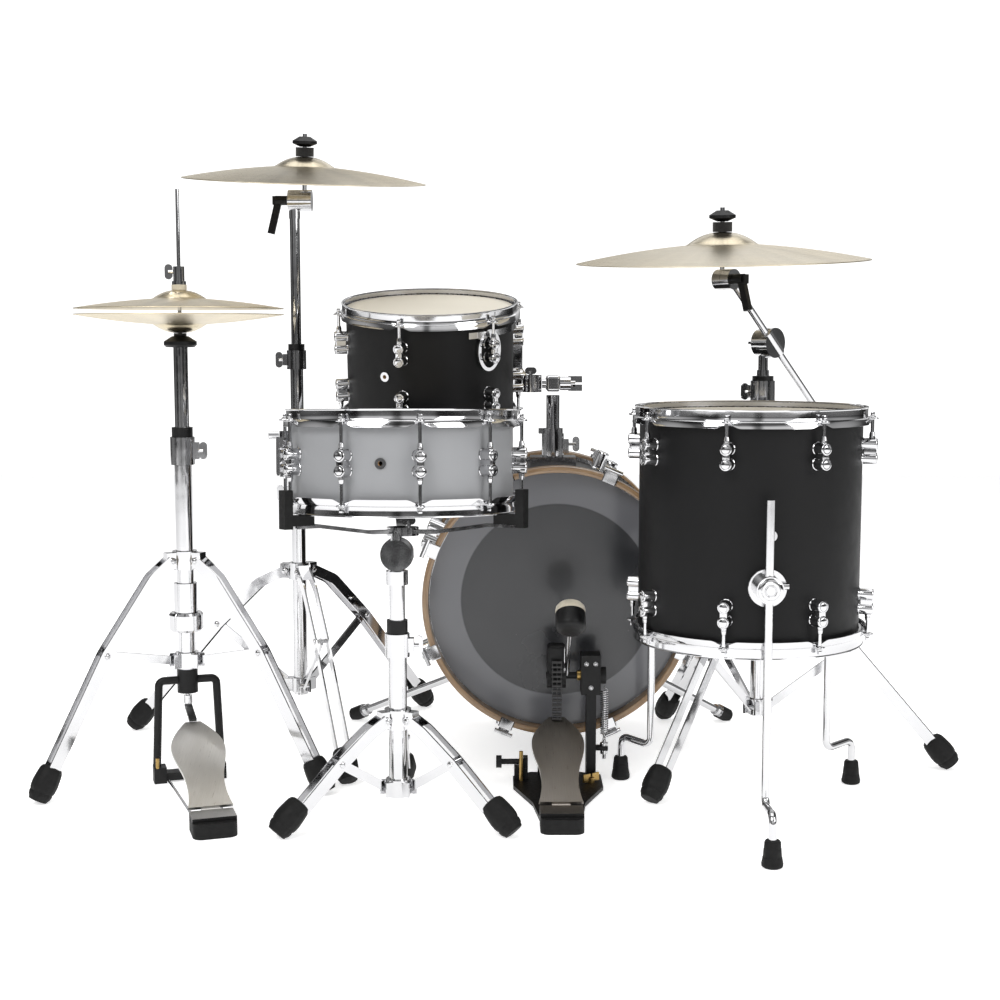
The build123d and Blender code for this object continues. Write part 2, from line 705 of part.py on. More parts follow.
def ride_stand():
    """Tripod, upper tube, boom, tilter and cymbal of the ride stand."""
    tripod("ride_tripod", RIDE_AT, TALL_LEG, RIDE_ANGLES, 105, 88, 665, 14.0, clamp(684, 19, 22, 11.1 + FIT, 200, 8.5))

    x, y = RIDE_AT
    tube = upright(x, y, 520, 722, 11.1, 9.4)
    neck = upright(x, y, 722, 760, 8.8)
    ratchet = aim(BOOM_PIVOT - BOOM_AXIS * 9.3, BOOM_AXIS) * Cylinder(25, 18)
    wing = aim(BOOM_PIVOT - BOOM_AXIS * 18.3, BOOM_AXIS * -1) * t_screw(12.0, 28.0)
    save("ride_upper_tube", tube, neck + ratchet, wing)

    middle = BOOM_PIVOT + BOOM_AXIS * BOOM_SIDE
    disc = aim(BOOM_PIVOT + BOOM_AXIS * 9.3, BOOM_AXIS) * Cylinder(27, 18)
    sleeve = rod(tuple(middle - BOOM_DIR * 26), tuple(middle + BOOM_DIR * 26), 10.5)
    arm = rod(tuple(middle - BOOM_DIR * BOOM_BACK), tuple(middle + BOOM_DIR * (BOOM_UP - 14)), 6.3)
    lower = aim(RIDE_TILT_AT + BOOM_AXIS * 9.3, BOOM_AXIS) * Cylinder(18, 18)
    turn = degrees(atan2(BOOM_AXIS.Y, BOOM_AXIS.X))
    lever = Location(tuple(RIDE_TILT_AT + BOOM_AXIS * 29.6)) * Rot(0, 0, turn + 180) * l_lever(54.0)
    save("ride_boom_arm", disc + sleeve + arm + lower, lever)

    place = Location(tuple(RIDE_TILT_AT - BOOM_AXIS * 9.3)) * Rot(*RIDE_LEAN, 0)
    upper = aim(RIDE_TILT_AT - BOOM_AXIS * 9.3, BOOM_AXIS) * Cylinder(18, 18)
    pieces = cymbal_stem(82.0)
    save("ride_tilter", place * pieces[0] + upper, [place * p for p in pieces[1:]])
    plate = Pos(0, 0, 82.0 - 50.0) * cymbal(RIDE_R, 62.0, 22.0, 28.0)
    save("ride_cymbal", place * plate)




def snare_frame():
    """The snare basket's tilted frame: everything above the tilter leans about its pivot."""
    x, y = SNARE_STAND_AT
    return Pos(x, y, SNARE_TILT_Z) * Rot(SNARE_PITCH, 0, 0) * Pos(-x, -y, -SNARE_TILT_Z)


def snare_stand():
    """Tripod, height tube with tilter, and the three-arm basket with its grips."""
    tripod("snare_tripod", SNARE_STAND_AT, SNARE_LEG, SNARE_ANGLES, 52, 36, 268, 15.0, clamp(287, 19, 20, 12.7 + FIT, 0, 22.0))
    x, y = SNARE_STAND_AT
    tube = upright(x, y, 100, 398, 12.7, 11.0)
    head = upright(x, y, 386, 408, 18) - upright(x, y, 380, 398, 12.7)
    yoke = snare_frame() * rod((x, y + 2, SNARE_TILT_Z), (x, y + 22, SNARE_TILT_Z), 27)
    yoke = yoke + upright(x, y + 12, 398, SNARE_TILT_Z - 8, 9)
    save("snare_post", tube, head + yoke)

    cx, cy, cz = SNARE_AT
    low = cz - SNARE_D / 2 - HOOP_UP
    hub = rod((x, y - 20, SNARE_TILT_Z), (x, y + 1.7, SNARE_TILT_Z), 25)
    hub = hub + upright(x, y - 10, SNARE_TILT_Z, 470, 9) + upright(cx, cy, 464.5, 478, 26)
    screw = Pos(cx + 10, cy, 478) * t_screw(10.0, 22.0)
    arms = []
    grips = []
    for angle in BASKET_ANGLES:
        reach = SNARE_R + 18
        path = [(12, 0, 471), (60, 0, 472), (reach - 40, 0, low - 18), (reach, 0, low - 18)]
        arm = Rot(0, 0, angle) * strap(path, 30.0, 6.0, 16.0, (0, 1, 0))
        arms.append(Pos(cx, cy, 0) * arm)
        grip = Pos(reach + 14, 0, low + 9) * Box(14, 20, 60) + Pos(reach - 8, 0, low - 8.3) * Box(44, 20, 16)
        slot = Pos(reach - 15, 0, low - 18) * Box(32, 16.1, 6.1)
        grips.append(Pos(cx, cy, 0) * Rot(0, 0, angle) * (grip - slot))
    basket = hub
    for arm in arms:
        basket = basket + arm
    tilted = snare_frame()
    save("snare_basket", tilted * (basket - grips), tilted * screw)
    save("snare_basket_grips", [tilted * grip for grip in grips])


def snare_drum():
    """The snare drum with its strainer, lever and wires."""
    place = snare_frame() * Pos(*SNARE_AT)
    tunable_drum("snare", place, SNARE_R, SNARE_D, SNARE_LUG_ANGLES, shared=True, vent_angle=-97.0)
    side = 191.4
    half = SNARE_D / 2
    body = Pos(SNARE_R + 8, 0, 6) * Box(20, 26, 62) - Cylinder(SNARE_R, 4 * SNARE_D)
    butt = Rot(0, 0, 180) * (Pos(SNARE_R + 6, 0, -4) * Box(16, 30, 34) - Cylinder(SNARE_R, 4 * SNARE_D))
    knob = Pos(SNARE_R + 11, 0, 40) * Cylinder(7, 14)
    arm = Pos(SNARE_R + 20.8, 0, 8) * Box(5, 14, 58)
    handle = Pos(SNARE_R + 27, 0, 40) * Rot(0, 90, 0) * Cylinder(6, 16)
    turn = place * Rot(0, 0, side)
    save("snare_strainer", turn * (body + knob), turn * butt)
    boss = Pos(SNARE_R + 20.8, 0, -21) * Rot(90, 0, 0) * Cylinder(2.5, 18)
    save("snare_throw_lever", turn * (arm + handle + boss))
    bars = [Pos(s * (SNARE_R - 26), 0, -half - HEAD_T - 1.6) * Box(14, 42, 1.2) for s in (-1, 1)]
    coils = [
        Pos(0, -19 + 3.8 * i, -half - HEAD_T - 1.6) * Rot(0, 90, 0) * Cylinder(1.0, 2 * (SNARE_R - 33) - 0.4)
        for i in range(11)
    ]
    save("snare_wires", [turn * b for b in bars], [turn * c for c in coils])


def hat_place(height=0.0):
    """The hi-hat stand's own axis."""
    return Pos(HAT_AT[0], HAT_AT[1], height)


def hihat_stand():
    """Two-leg base, housing, upper tube, cymbals, clutch and pull rod."""
    housing = upright(0, 0, 301, 353, 20.5, 15.0)
    knob = turned([(15, 268), (27, 268), (30, 272), (30, 297), (27, 301), (15, 301)])
    extra = [housing, knob] + clamp(585, 24, 21, 12.2 + FIT, 0, 17.0)
    tripod("hihat_tripod", HAT_AT, HAT_LEG, HAT_ANGLES, 216, 200, 560, 15.0, extra)

    place = hat_place()
    tube = upright(0, 0, 450, 764, 12.2, 10.4)
    cup = turned([(5, 764), (24, 764), (28, 768), (28, 774), (14, 783), (5, 783)])
    key = Rot(0, 0, -90) * (Pos(22, 0, 756.5) * Cylinder(3, 15))
    felt = upright(0, 0, 783, 788.2, 11, 5.0)
    save("hihat_upper_tube", [place * p for p in (tube, cup, key, felt)])

    hat_rise = 16.0
    bell = 15.0
    bottom_edge = 819.5
    top_edge = 831.0
    top = cymbal(HAT_R, 46.0, bell, hat_rise)
    bottom = Rot(180, 0, 0) * cymbal(HAT_R, 46.0, bell, hat_rise)
    save("hihat_bottom_cymbal", hat_place(bottom_edge) * bottom)
    save("hihat_top_cymbal", hat_place(top_edge) * top)

    bell_top = top_edge + hat_rise + bell
    rod_piece = upright(0, 0, 152, 1033, 3.2)
    tongue = upright(0, 0, 138, 152, 8)
    save("hihat_pull_rod", place * (rod_piece + tongue))
    low_felt = upright(0, 0, bell_top - 11, bell_top - CYMBAL_T - 1, 11, 5)
    high_felt = upright(0, 0, bell_top, bell_top + 9, 13, 5)
    sleeve = upright(0, 0, bell_top - 18, bell_top + 40, 4.9, 3.2)
    lower_nut = upright(0, 0, bell_top - 18, bell_top - 11, 11, 4.9)
    collar_nut = upright(0, 0, bell_top + 9, bell_top + 15, 12, 4.9)
    barrel = upright(0, 0, bell_top + 15, bell_top + 40, 9.5, 4.9)
    screw = aim((-9.5, 0, bell_top + 31), (-1, 0, 0)) * t_screw(8.0, 26.0)
    save("hihat_clutch", [place * p for p in (low_felt, high_felt, sleeve, lower_nut, collar_nut, barrel, screw)])


# ---------------------------------------------------------------- pedals
def footboard_outline():
    """Half-width of a footboard against distance from its hinge."""
    return [(0, 36), (16, 33), (52, 30.5), (92, 34), (140, 43.5), (172, 44), (208, 31), (FOOTBOARD_L, 13)]


def footboard(hinge):
    """A contoured plate that rises from its hinge, in a plane where Y is along the board."""
    half = footboard_outline()
    right = Spline(*[(w, s) for s, w in half])
    left = Spline(*[(-w, s) for s, w in half])
    heel_edge = Line(left @ 0, right @ 0)
    toe_edge = Line(left @ 1, right @ 1)
    plate = extrude(make_face([right, toe_edge, left, heel_edge]), 5.0)
    lip = Pos(0, FOOTBOARD_L - 5, -7) * Box(16, 10, 16)
    barrel = Pos(0, -1.5, -3) * Rot(0, 90, 0) * Cylinder(5, 30)
    board = plate + lip + barrel
    return Pos(0, *hinge) * Rot(FOOTBOARD_SLOPE, 0, 0) * board


def heel_plate(hinge):
    """The fixed heel plate with its rubber nose, in front of the hinge."""
    y, z = hinge
    body = block((0, y - 28, z / 2), (70, 44, z))
    ears = [block((side * 22, y - 4, z / 2 - 2), (12, 12, z - 4)) for side in (-1, 1)]
    nose = Pos(0, y - 50, 0) * extrude(Plane.XY * SlotOverall(70, 30), z - 6)
    return body + ears + nose


def toe_point(hinge):
    """Where the chain meets the footboard."""
    slope = radians(FOOTBOARD_SLOPE)
    return hinge[0] + FOOTBOARD_L * cos(slope), hinge[1] + FOOTBOARD_L * sin(slope)


def bass_pedal():
    """Frame, footboard, axle with cam, beater, chain and spring of the bass pedal."""
    place = Pos(PEDAL_X, 0, 0)
    y_axle, z_axle = AXLE
    post_x = 61.0
    base = make_face(
        Polyline(
            (-34, -290), (34, -290), (44, -205), (80, -110), (80, -36), (44, -20), (-44, -20), (-76, -46),
            (-76, -105), (-44, -205), close=True,
        )
    )
    plate = extrude(base, 7.0)
    post = block((post_x, -52, 85), (17, 34, 160))
    bearing = block((post_x - 1, y_axle, z_axle + 4), (34, 40, 70))
    axle_bore = rod((0, y_axle, z_axle), (200, y_axle, z_axle), 6.0 + FIT)
    frame = heel_plate(PEDAL_HINGE) + plate + post + bearing - axle_bore
    jaw_low = block((0, -6, 64), (64, 52, 8))
    jaw_leg = block((0, -34, 33), (64, 14, 62))
    jaw_top = block((0, -8, 84.6), (30, 56, 8))
    clamp_leg = block((0, -40, 70), (30, 8, 37))
    wing = block((-62, -60, 17), (24, 26, 22)) + block((-54, -60, 34), (8, 20, 24))
    frame = frame + jaw_leg + jaw_low + clamp_leg + jaw_top + wing
    cross = rod((-96, -60, 37), (-58, -60, 37), 5)
    grip = rod((-106, -60, 37), (-96, -60, 37), 11)
    key = upright(-62, -76.6, 7, 60, 3.5)
    nut = Pos(60, -86, 7) * Rot(0, 0, 35) * wing_nut(14.0, 34.0)
    save("bass_pedal_frame", place * frame, [place * p for p in (cross + grip, key, nut)])

    save("bass_footboard", place * footboard(PEDAL_HINGE))

    axle = rod((-18, y_axle, z_axle), (post_x + 26, y_axle, z_axle), 6.0)
    cam = rod((-16, y_axle, z_axle), (16, y_axle, z_axle), 22)
    cam = cam + rounded(block((0, y_axle - 4, z_axle + 20), (32, 34, 74)), 6)
    crank = rod((post_x + 16.6, y_axle, z_axle), (post_x + 26, y_axle, z_axle), 15)
    lean = radians(BEATER_LEAN)
    offset = BEATER_X - PEDAL_X
    tip = (offset, y_axle - BEATER_L * sin(lean), z_axle + BEATER_L * cos(lean))
    shaft = rod((offset, y_axle, z_axle), (offset, tip[1] - 10 * sin(lean), tip[2] + 10 * cos(lean)), 4.2)
    save("beater_axle", place * (axle + cam + crank + shaft))

    head = Rot(90, 0, 0) * rounded(Cylinder(25, 52), 9)
    head = Pos(*tip) * Rot(BEATER_LEAN, 0, 0) * (head - Cylinder(4.2, 200))
    save("beater_head", place * head)

    toe_y, toe_z = toe_point(PEDAL_HINGE)
    chain_y = y_axle - 29
    low, high = toe_z + 3, z_axle + 30
    save("bass_pedal_chain", place * block((0, chain_y, (low + high) / 2), (18, 6, high - low)))
    spring_x = post_x + 24
    spring = upright(spring_x, y_axle, 80, z_axle - 20, 7.5, 5.0)
    anchor = block((post_x + 19.5, y_axle, 60), (22, 14, 8)) + upright(spring_x, y_axle, 40, 78, 3.5)
    save("bass_pedal_spring", [place * p for p in (spring, anchor)])


def hat_pedal_place():
    """The hi-hat pedal's own frame, turned so its heel swings to the player's right."""
    return Pos(HAT_AT[0], HAT_AT[1], 0) * Rot(0, 0, HAT_PEDAL_YAW)


def hihat_pedal():
    """Yoke, heel plate, radius rods, footboard and chain of the hi-hat pedal."""
    place = hat_pedal_place()
    hub = upright(0, 0, 158, 199.7, 18, 9.0)
    yoke = wire_rod([(-17, 0, 180), (-50, 0, 180), (-57, 0, 12), (-40, 0, 12)], 10.0, 7.0)
    yoke_right = wire_rod([(17, 0, 180), (50, 0, 180), (57, 0, 12), (40, 0, 12)], 10.0, 7.0)
    cross = block((0, 0, 10), (100, 26, 14))
    blocks = [block((s * 52, -2, 14), (22, 30, 28)) for s in (-1, 1)]
    frame = hub + yoke + yoke_right + cross + blocks
    heel_y = HAT_HINGE[0] + 8
    rods = [rod((s * 22, heel_y - 6, 8), (s * 40, -18, 8), 2.6) for s in (-1, 1)]
    heel = heel_plate((HAT_HINGE[0], HAT_HINGE[1]))
    screw = upright(-57, -16, 28, 46, 3.2)
    save("hihat_pedal_frame", place * (frame - upright(0, 0, 158, 200, 9.0)), place * (heel + rods - frame), place * screw)
    save("hihat_footboard", place * footboard(HAT_HINGE))
    toe_y, toe_z = toe_point(HAT_HINGE)
    start = (0, 0, 134)
    end = (0, toe_y - 4, toe_z + 8)
    save("hihat_pedal_chain", place * strap_between_yz(start, end, 13.0, 5.0))


def strap_between_yz(start, end, width, thickness):
    """A straight flat strip between two points in the YZ plane, its face to the front."""
    axis = Vector(*end) - Vector(*start)
    plane = Plane(origin=start, x_dir=(1, 0, 0), z_dir=axis)
    return extrude(plane * Rectangle(width, thickness), axis.length)


# ---------------------------------------------------------------- the kit
def kit():
    """Build and write every node."""
    bass_drum()
    shell_brackets()
    spur("left")
    spur("right")
    tom_mount()
    tunable_drum("rack_tom", tom_place(), TOM_R, TOM_D, TOM_ANGLES, vent_angle=-119.0)
    feet = floor_tom()
    snare_drum()
    snare_stand()
    crash_stand()
    ride_stand()
    hihat_stand()
    bass_pedal()
    hihat_pedal()
    feet += stand_feet(SNARE_STAND_AT, SNARE_LEG, SNARE_ANGLES)
    feet += stand_feet(HAT_AT, HAT_LEG, HAT_ANGLES)
    feet += stand_feet(CRASH_AT, TALL_LEG, CRASH_ANGLES)
    feet += stand_feet(RIDE_AT, TALL_LEG, RIDE_ANGLES)
    save("rubber_feet", feet)


os.makedirs("parts", exist_ok=True)
kit()
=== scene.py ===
import json
from math import cos, hypot, pi, radians, sin, tau

import bmesh
import bpy
from mathutils import Matrix, Vector

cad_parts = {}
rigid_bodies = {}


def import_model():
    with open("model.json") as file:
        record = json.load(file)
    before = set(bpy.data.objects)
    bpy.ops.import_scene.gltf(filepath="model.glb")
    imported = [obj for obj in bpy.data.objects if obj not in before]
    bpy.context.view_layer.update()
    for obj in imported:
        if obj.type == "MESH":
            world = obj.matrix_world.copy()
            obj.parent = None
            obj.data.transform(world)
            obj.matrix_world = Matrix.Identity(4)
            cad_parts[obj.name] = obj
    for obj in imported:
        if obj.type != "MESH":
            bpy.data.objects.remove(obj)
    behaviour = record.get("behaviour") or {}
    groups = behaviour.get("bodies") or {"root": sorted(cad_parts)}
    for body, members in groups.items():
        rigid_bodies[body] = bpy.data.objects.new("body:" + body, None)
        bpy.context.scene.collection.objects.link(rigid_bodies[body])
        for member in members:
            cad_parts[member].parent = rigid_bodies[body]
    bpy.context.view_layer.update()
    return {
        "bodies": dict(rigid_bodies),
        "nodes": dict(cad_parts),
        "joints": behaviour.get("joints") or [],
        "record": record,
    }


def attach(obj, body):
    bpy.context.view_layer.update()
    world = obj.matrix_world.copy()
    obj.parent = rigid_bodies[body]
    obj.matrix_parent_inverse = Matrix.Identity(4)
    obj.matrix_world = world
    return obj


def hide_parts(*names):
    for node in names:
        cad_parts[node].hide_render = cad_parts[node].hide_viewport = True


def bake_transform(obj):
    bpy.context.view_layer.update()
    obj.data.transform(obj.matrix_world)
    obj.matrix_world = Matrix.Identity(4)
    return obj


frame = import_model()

NODES = frame["nodes"]

# The drawing frame is in millimetres and stands this far from the row frame's origin.
ORIGIN = (5.02, 2.84)
MM = 0.001


def at(x, y, z=0.0):
    """A point of the drawing, in millimetres, as a point of the row frame in metres."""
    return Vector(((x - ORIGIN[0]) * MM, (y - ORIGIN[1]) * MM, z * MM))


def placed(point, direction=(0, 0, 1)):
    """A matrix that puts local +Z along a direction at a drawing point; its inner units are millimetres."""
    aim = Vector(direction).normalized().to_track_quat("Z", "Y").to_matrix().to_4x4()
    return Matrix.Translation(at(*point)) @ aim @ Matrix.Scale(MM, 4)


def mm_frame(centre, tilt=0.0):
    """A frame at a drawing point, tilted about X in degrees; its inner units are millimetres."""
    return Matrix.Translation(at(*centre)) @ Matrix.Rotation(radians(tilt), 4, "X") @ Matrix.Scale(MM, 4)


# ---------------------------------------------------------------- camera and room
CAMERA_AT = (-15.0, -2730.0, 785.0)
CAMERA_LENS = 55.8
CAMERA_DOWN = 6.076
CAMERA_WHITE, ROOM_STRENGTH = 1.3, 0.85
# Brightness of the reflected room: by height from straight down to straight up, and by side from -X to +X.
ROOM_BY_HEIGHT = (
    (0.0, 0.5), (0.36, 0.75), (0.455, 0.42), (0.50, 0.12), (0.545, 0.42),
    (0.60, 0.9), (0.72, 1.1), (0.79, 0.12), (0.86, 0.2), (1.0, 0.9),
)
ROOM_BY_SIDE = (
    (0.0, 0.8), (0.08, 0.14), (0.17, 0.14), (0.22, 1.0), (0.43, 1.0), (0.465, 0.30),
    (0.50, 0.22), (0.54, 1.0), (0.78, 1.0), (0.82, 0.12), (0.90, 0.12), (1.0, 0.7),
)


def make_camera():
    data = bpy.data.cameras.new("camera")
    data.sensor_width = 36.0
    data.lens = CAMERA_LENS
    cam = bpy.data.objects.new("camera", data)
    cam.location = at(*CAMERA_AT)
    cam.rotation_euler = (radians(90.0 - CAMERA_DOWN), 0, 0)
    bpy.context.scene.collection.objects.link(cam)
    bpy.context.scene.camera = cam


def area_light(name, location, aim, size, power):
    data = bpy.data.lights.new(name, "AREA")
    data.shape = "RECTANGLE"
    data.size, data.size_y = size
    data.energy = power
    lamp = bpy.data.objects.new(name, data)
    lamp.location = location
    direction = Vector(aim) - Vector(location)
    lamp.rotation_euler = direction.to_track_quat("-Z", "Y").to_euler()
    bpy.context.scene.collection.objects.link(lamp)


def make_world():
    """White to the camera, and a room with darker bands for the chrome to reflect."""
    world = bpy.data.worlds.new("studio")
    bpy.context.scene.world = world
    world.use_nodes = True
    tree = world.node_tree
    tree.nodes.clear()
    link = tree.links.new
    coords = tree.nodes.new("ShaderNodeTexCoord")
    split = tree.nodes.new("ShaderNodeSeparateXYZ")
    link(coords.outputs["Generated"], split.inputs[0])

    def banded(axis, steps):
        stops = [(place, (value, value, value, 1)) for place, value in steps]
        return ramp(tree, spread(tree, split.outputs[axis], 0.0, 1.0, -1.0, 1.0), stops)

    dim = tree.nodes.new("ShaderNodeMix")
    dim.data_type, dim.blend_type = "RGBA", "MULTIPLY"
    dim.inputs["Factor"].default_value = 1.0
    link(banded("Z", ROOM_BY_HEIGHT), dim.inputs["A"])
    link(banded("X", ROOM_BY_SIDE), dim.inputs["B"])
    room = tree.nodes.new("ShaderNodeBackground")
    room.inputs["Strength"].default_value = ROOM_STRENGTH
    link(dim.outputs["Result"], room.inputs["Color"])
    plain = tree.nodes.new("ShaderNodeBackground")
    plain.inputs["Color"].default_value = (1.0, 1.0, 1.0, 1)
    plain.inputs["Strength"].default_value = CAMERA_WHITE
    path = tree.nodes.new("ShaderNodeLightPath")
    mix = tree.nodes.new("ShaderNodeMixShader")
    link(path.outputs["Is Camera Ray"], mix.inputs[0])
    link(room.outputs[0], mix.inputs[1])
    link(plain.outputs[0], mix.inputs[2])
    out = tree.nodes.new("ShaderNodeOutputWorld")
    link(mix.outputs[0], out.inputs[0])


# ---------------------------------------------------------------- materials
def new_material(name):
    mat = bpy.data.materials.new(name)
    mat.use_nodes = True
    tree = mat.node_tree
    return mat, tree, tree.nodes["Principled BSDF"]


def rgb(red, green, blue):
    """An 8-bit display colour as linear values."""
    def linear(v):
        v /= 255.0
        return v / 12.92 if v <= 0.04045 else ((v + 0.055) / 1.055) ** 2.4

    return (linear(red), linear(green), linear(blue), 1.0)


def shade(color, factor):
    return tuple(min(1.0, c * factor) for c in color[:3]) + (1.0,)


def object_coords(tree, centre=None, rotation=(0, 0, 0)):
    """Object coordinates, or those of a local frame given by its centre and rotation."""
    coords = tree.nodes.new("ShaderNodeTexCoord")
    if centre is None:
        return coords.outputs["Object"]
    mapping = tree.nodes.new("ShaderNodeMapping")
    mapping.vector_type = "TEXTURE"
    mapping.inputs["Location"].default_value = centre
    mapping.inputs["Rotation"].default_value = rotation
    tree.links.new(coords.outputs["Object"], mapping.inputs["Vector"])
    return mapping.outputs["Vector"]


def noise(tree, vector, scale, detail=4.0, rough=0.55):
    node = tree.nodes.new("ShaderNodeTexNoise")
    node.inputs["Scale"].default_value = scale
    node.inputs["Detail"].default_value = detail
    node.inputs["Roughness"].default_value = rough
    tree.links.new(vector, node.inputs["Vector"])
    return node.outputs["Fac"]


def line_noise(tree, value, scale, detail):
    """Noise that changes along one value only."""
    node = tree.nodes.new("ShaderNodeTexNoise")
    node.noise_dimensions = "1D"
    node.inputs["Scale"].default_value = scale
    node.inputs["Detail"].default_value = detail
    tree.links.new(value, node.inputs["W"])
    return node.outputs["Fac"]


def ramp(tree, value, stops):
    """A colour ramp from (position, colour) stops."""
    node = tree.nodes.new("ShaderNodeValToRGB")
    elements = node.color_ramp.elements
    elements[0].position, elements[0].color = stops[0]
    elements[1].position, elements[1].color = stops[-1]
    for position, color in stops[1:-1]:
        elements.new(position).color = color
    tree.links.new(value, node.inputs["Fac"])
    return node.outputs["Color"]


def math(tree, operation, first, second=None):
    node = tree.nodes.new("ShaderNodeMath")
    node.operation = operation
    for socket, value in zip(node.inputs, (first, second)):
        if value is None:
            continue
        if isinstance(value, (int, float)):
            socket.default_value = value
        else:
            tree.links.new(value, socket)
    return node.outputs[0]


def spread(tree, value, low, high, from_low=0.25, from_high=0.75):
    node = tree.nodes.new("ShaderNodeMapRange")
    node.inputs["From Min"].default_value = from_low
    node.inputs["From Max"].default_value = from_high
    node.inputs["To Min"].default_value = low
    node.inputs["To Max"].default_value = high
    tree.links.new(value, node.inputs["Value"])
    return node.outputs[0]


def bump(tree, height, strength, distance=0.0004):
    node = tree.nodes.new("ShaderNodeBump")
    node.inputs["Strength"].default_value = strength
    node.inputs["Distance"].default_value = distance
    tree.links.new(height, node.inputs["Height"])
    return node.outputs["Normal"]


def mix_color(tree, factor, first, second):
    node = tree.nodes.new("ShaderNodeMix")
    node.data_type = "RGBA"
    for key, value in (("Factor", factor), ("A", first), ("B", second)):
        socket = node.inputs[key]
        if isinstance(value, (int, float, tuple)):
            socket.default_value = value
        else:
            tree.links.new(value, socket)
    return node.outputs["Result"]


def surface(name, color, rough, metal, patchy, patch, rough_swing, grain, grain_scale,
            specular=0.5, sheen=0.0, wobble=0.0):
    """A finish with slow colour drift, uneven gloss, a fine grain and, for a mirror, a slight wobble."""
    mat, tree, shader = new_material(name)
    coords = object_coords(tree)
    slow = noise(tree, coords, patch)
    fine = noise(tree, coords, grain_scale, 2.0)
    tint = ramp(tree, slow, [(0.3, shade(color, 1 - patchy)), (0.7, shade(color, 1 + patchy))])
    gloss = spread(tree, noise(tree, coords, patch * 5), max(0.02, rough - rough_swing), rough + rough_swing)
    tree.links.new(tint, shader.inputs["Base Color"])
    tree.links.new(gloss, shader.inputs["Roughness"])
    relief = bump(tree, fine, grain)
    if wobble:
        swell = tree.nodes.new("ShaderNodeBump")
        swell.inputs["Strength"].default_value = wobble
        swell.inputs["Distance"].default_value = 0.003
        tree.links.new(noise(tree, coords, 26.0, 1.0), swell.inputs["Height"])
        tree.links.new(relief, swell.inputs["Normal"])
        relief = swell.outputs["Normal"]
    tree.links.new(relief, shader.inputs["Normal"])
    shader.inputs["Metallic"].default_value = metal
    shader.inputs["Specular IOR Level"].default_value = specular
    shader.inputs["Sheen Weight"].default_value = sheen
    return mat


def brushed(name, color, rough, stretch, fineness):
    """Metal with brush lines; stretch is the noise scale on each axis, small along the lines."""
    mat, tree, shader = new_material(name)
    mapping = tree.nodes.new("ShaderNodeMapping")
    mapping.inputs["Scale"].default_value = stretch
    tree.links.new(object_coords(tree), mapping.inputs["Vector"])
    lines = noise(tree, mapping.outputs["Vector"], fineness, 3.0)
    slow = noise(tree, object_coords(tree), 30.0)
    tint = ramp(tree, lines, [(0.3, shade(color, 0.92)), (0.7, shade(color, 1.07))])
    worn = mix_color(tree, spread(tree, slow, 0.0, 0.15), tint, shade(color, 0.8))
    tree.links.new(worn, shader.inputs["Base Color"])
    tree.links.new(spread(tree, lines, rough - 0.08, rough + 0.1), shader.inputs["Roughness"])
    tree.links.new(bump(tree, lines, 0.25, 0.0003), shader.inputs["Normal"])
    shader.inputs["Metallic"].default_value = 1.0
    return mat


def radial(tree, coords, plane="XY"):
    """Distance from the local axis, the angle round it, and the node with the separate coordinates."""
    split = tree.nodes.new("ShaderNodeSeparateXYZ")
    tree.links.new(coords, split.inputs[0])
    a, b = split.outputs[plane[0]], split.outputs[plane[1]]
    square = math(tree, "ADD", math(tree, "MULTIPLY", a, a), math(tree, "MULTIPLY", b, b))
    return math(tree, "SQRT", square), math(tree, "ARCTAN2", a, b), split


def cymbal_bronze(name, color, bell):
    """Lathed bronze: fine and broad rings, dark rays toward the rim that are painted sheen streaks, slow warm
    patches and a smoother bell.
    """
    mat, tree, shader = new_material(name)
    coords = object_coords(tree)
    out, angle, _ = radial(tree, coords)
    rings = line_noise(tree, out, 1400.0, 3.0)
    wide = line_noise(tree, out, 160.0, 2.0)
    # The dark rays by angle are painted sheen streaks: reflection streaks painted into the colour as shade.
    painted_sheen_rays = line_noise(tree, angle, 3.1, 4.0)
    slow = noise(tree, coords, 9.0, 3.0)
    tint = ramp(tree, rings, [(0.3, shade(color, 0.80)), (0.7, shade(color, 1.14))])
    band = mix_color(tree, spread(tree, wide, 0.0, 0.45), tint, shade(color, 0.72))
    band = mix_color(tree, spread(tree, painted_sheen_rays, 0.0, 0.6), band, shade(color, 0.5))
    warm = mix_color(tree, spread(tree, slow, 0.0, 0.3), band, (color[0], color[1] * 0.9, color[2] * 0.74, 1))
    tree.links.new(warm, shader.inputs["Base Color"])
    on_bell = spread(tree, out, 1.0, 0.0, bell - 0.004, bell + 0.002)
    gloss = spread(tree, rings, 0.24, 0.42)
    smoother = math(tree, "SUBTRACT", gloss, math(tree, "MULTIPLY", on_bell, 0.08))
    tree.links.new(smoother, shader.inputs["Roughness"])
    tree.links.new(bump(tree, rings, 0.30, 0.0003), shader.inputs["Normal"])
    shader.inputs["Metallic"].default_value = 1.0
    shader.inputs["Anisotropic"].default_value = 0.5
    tangent = tree.nodes.new("ShaderNodeTangent")
    tangent.direction_type = "RADIAL"
    tangent.axis = "Z"
    tree.links.new(tangent.outputs[0], shader.inputs["Tangent"])
    return mat


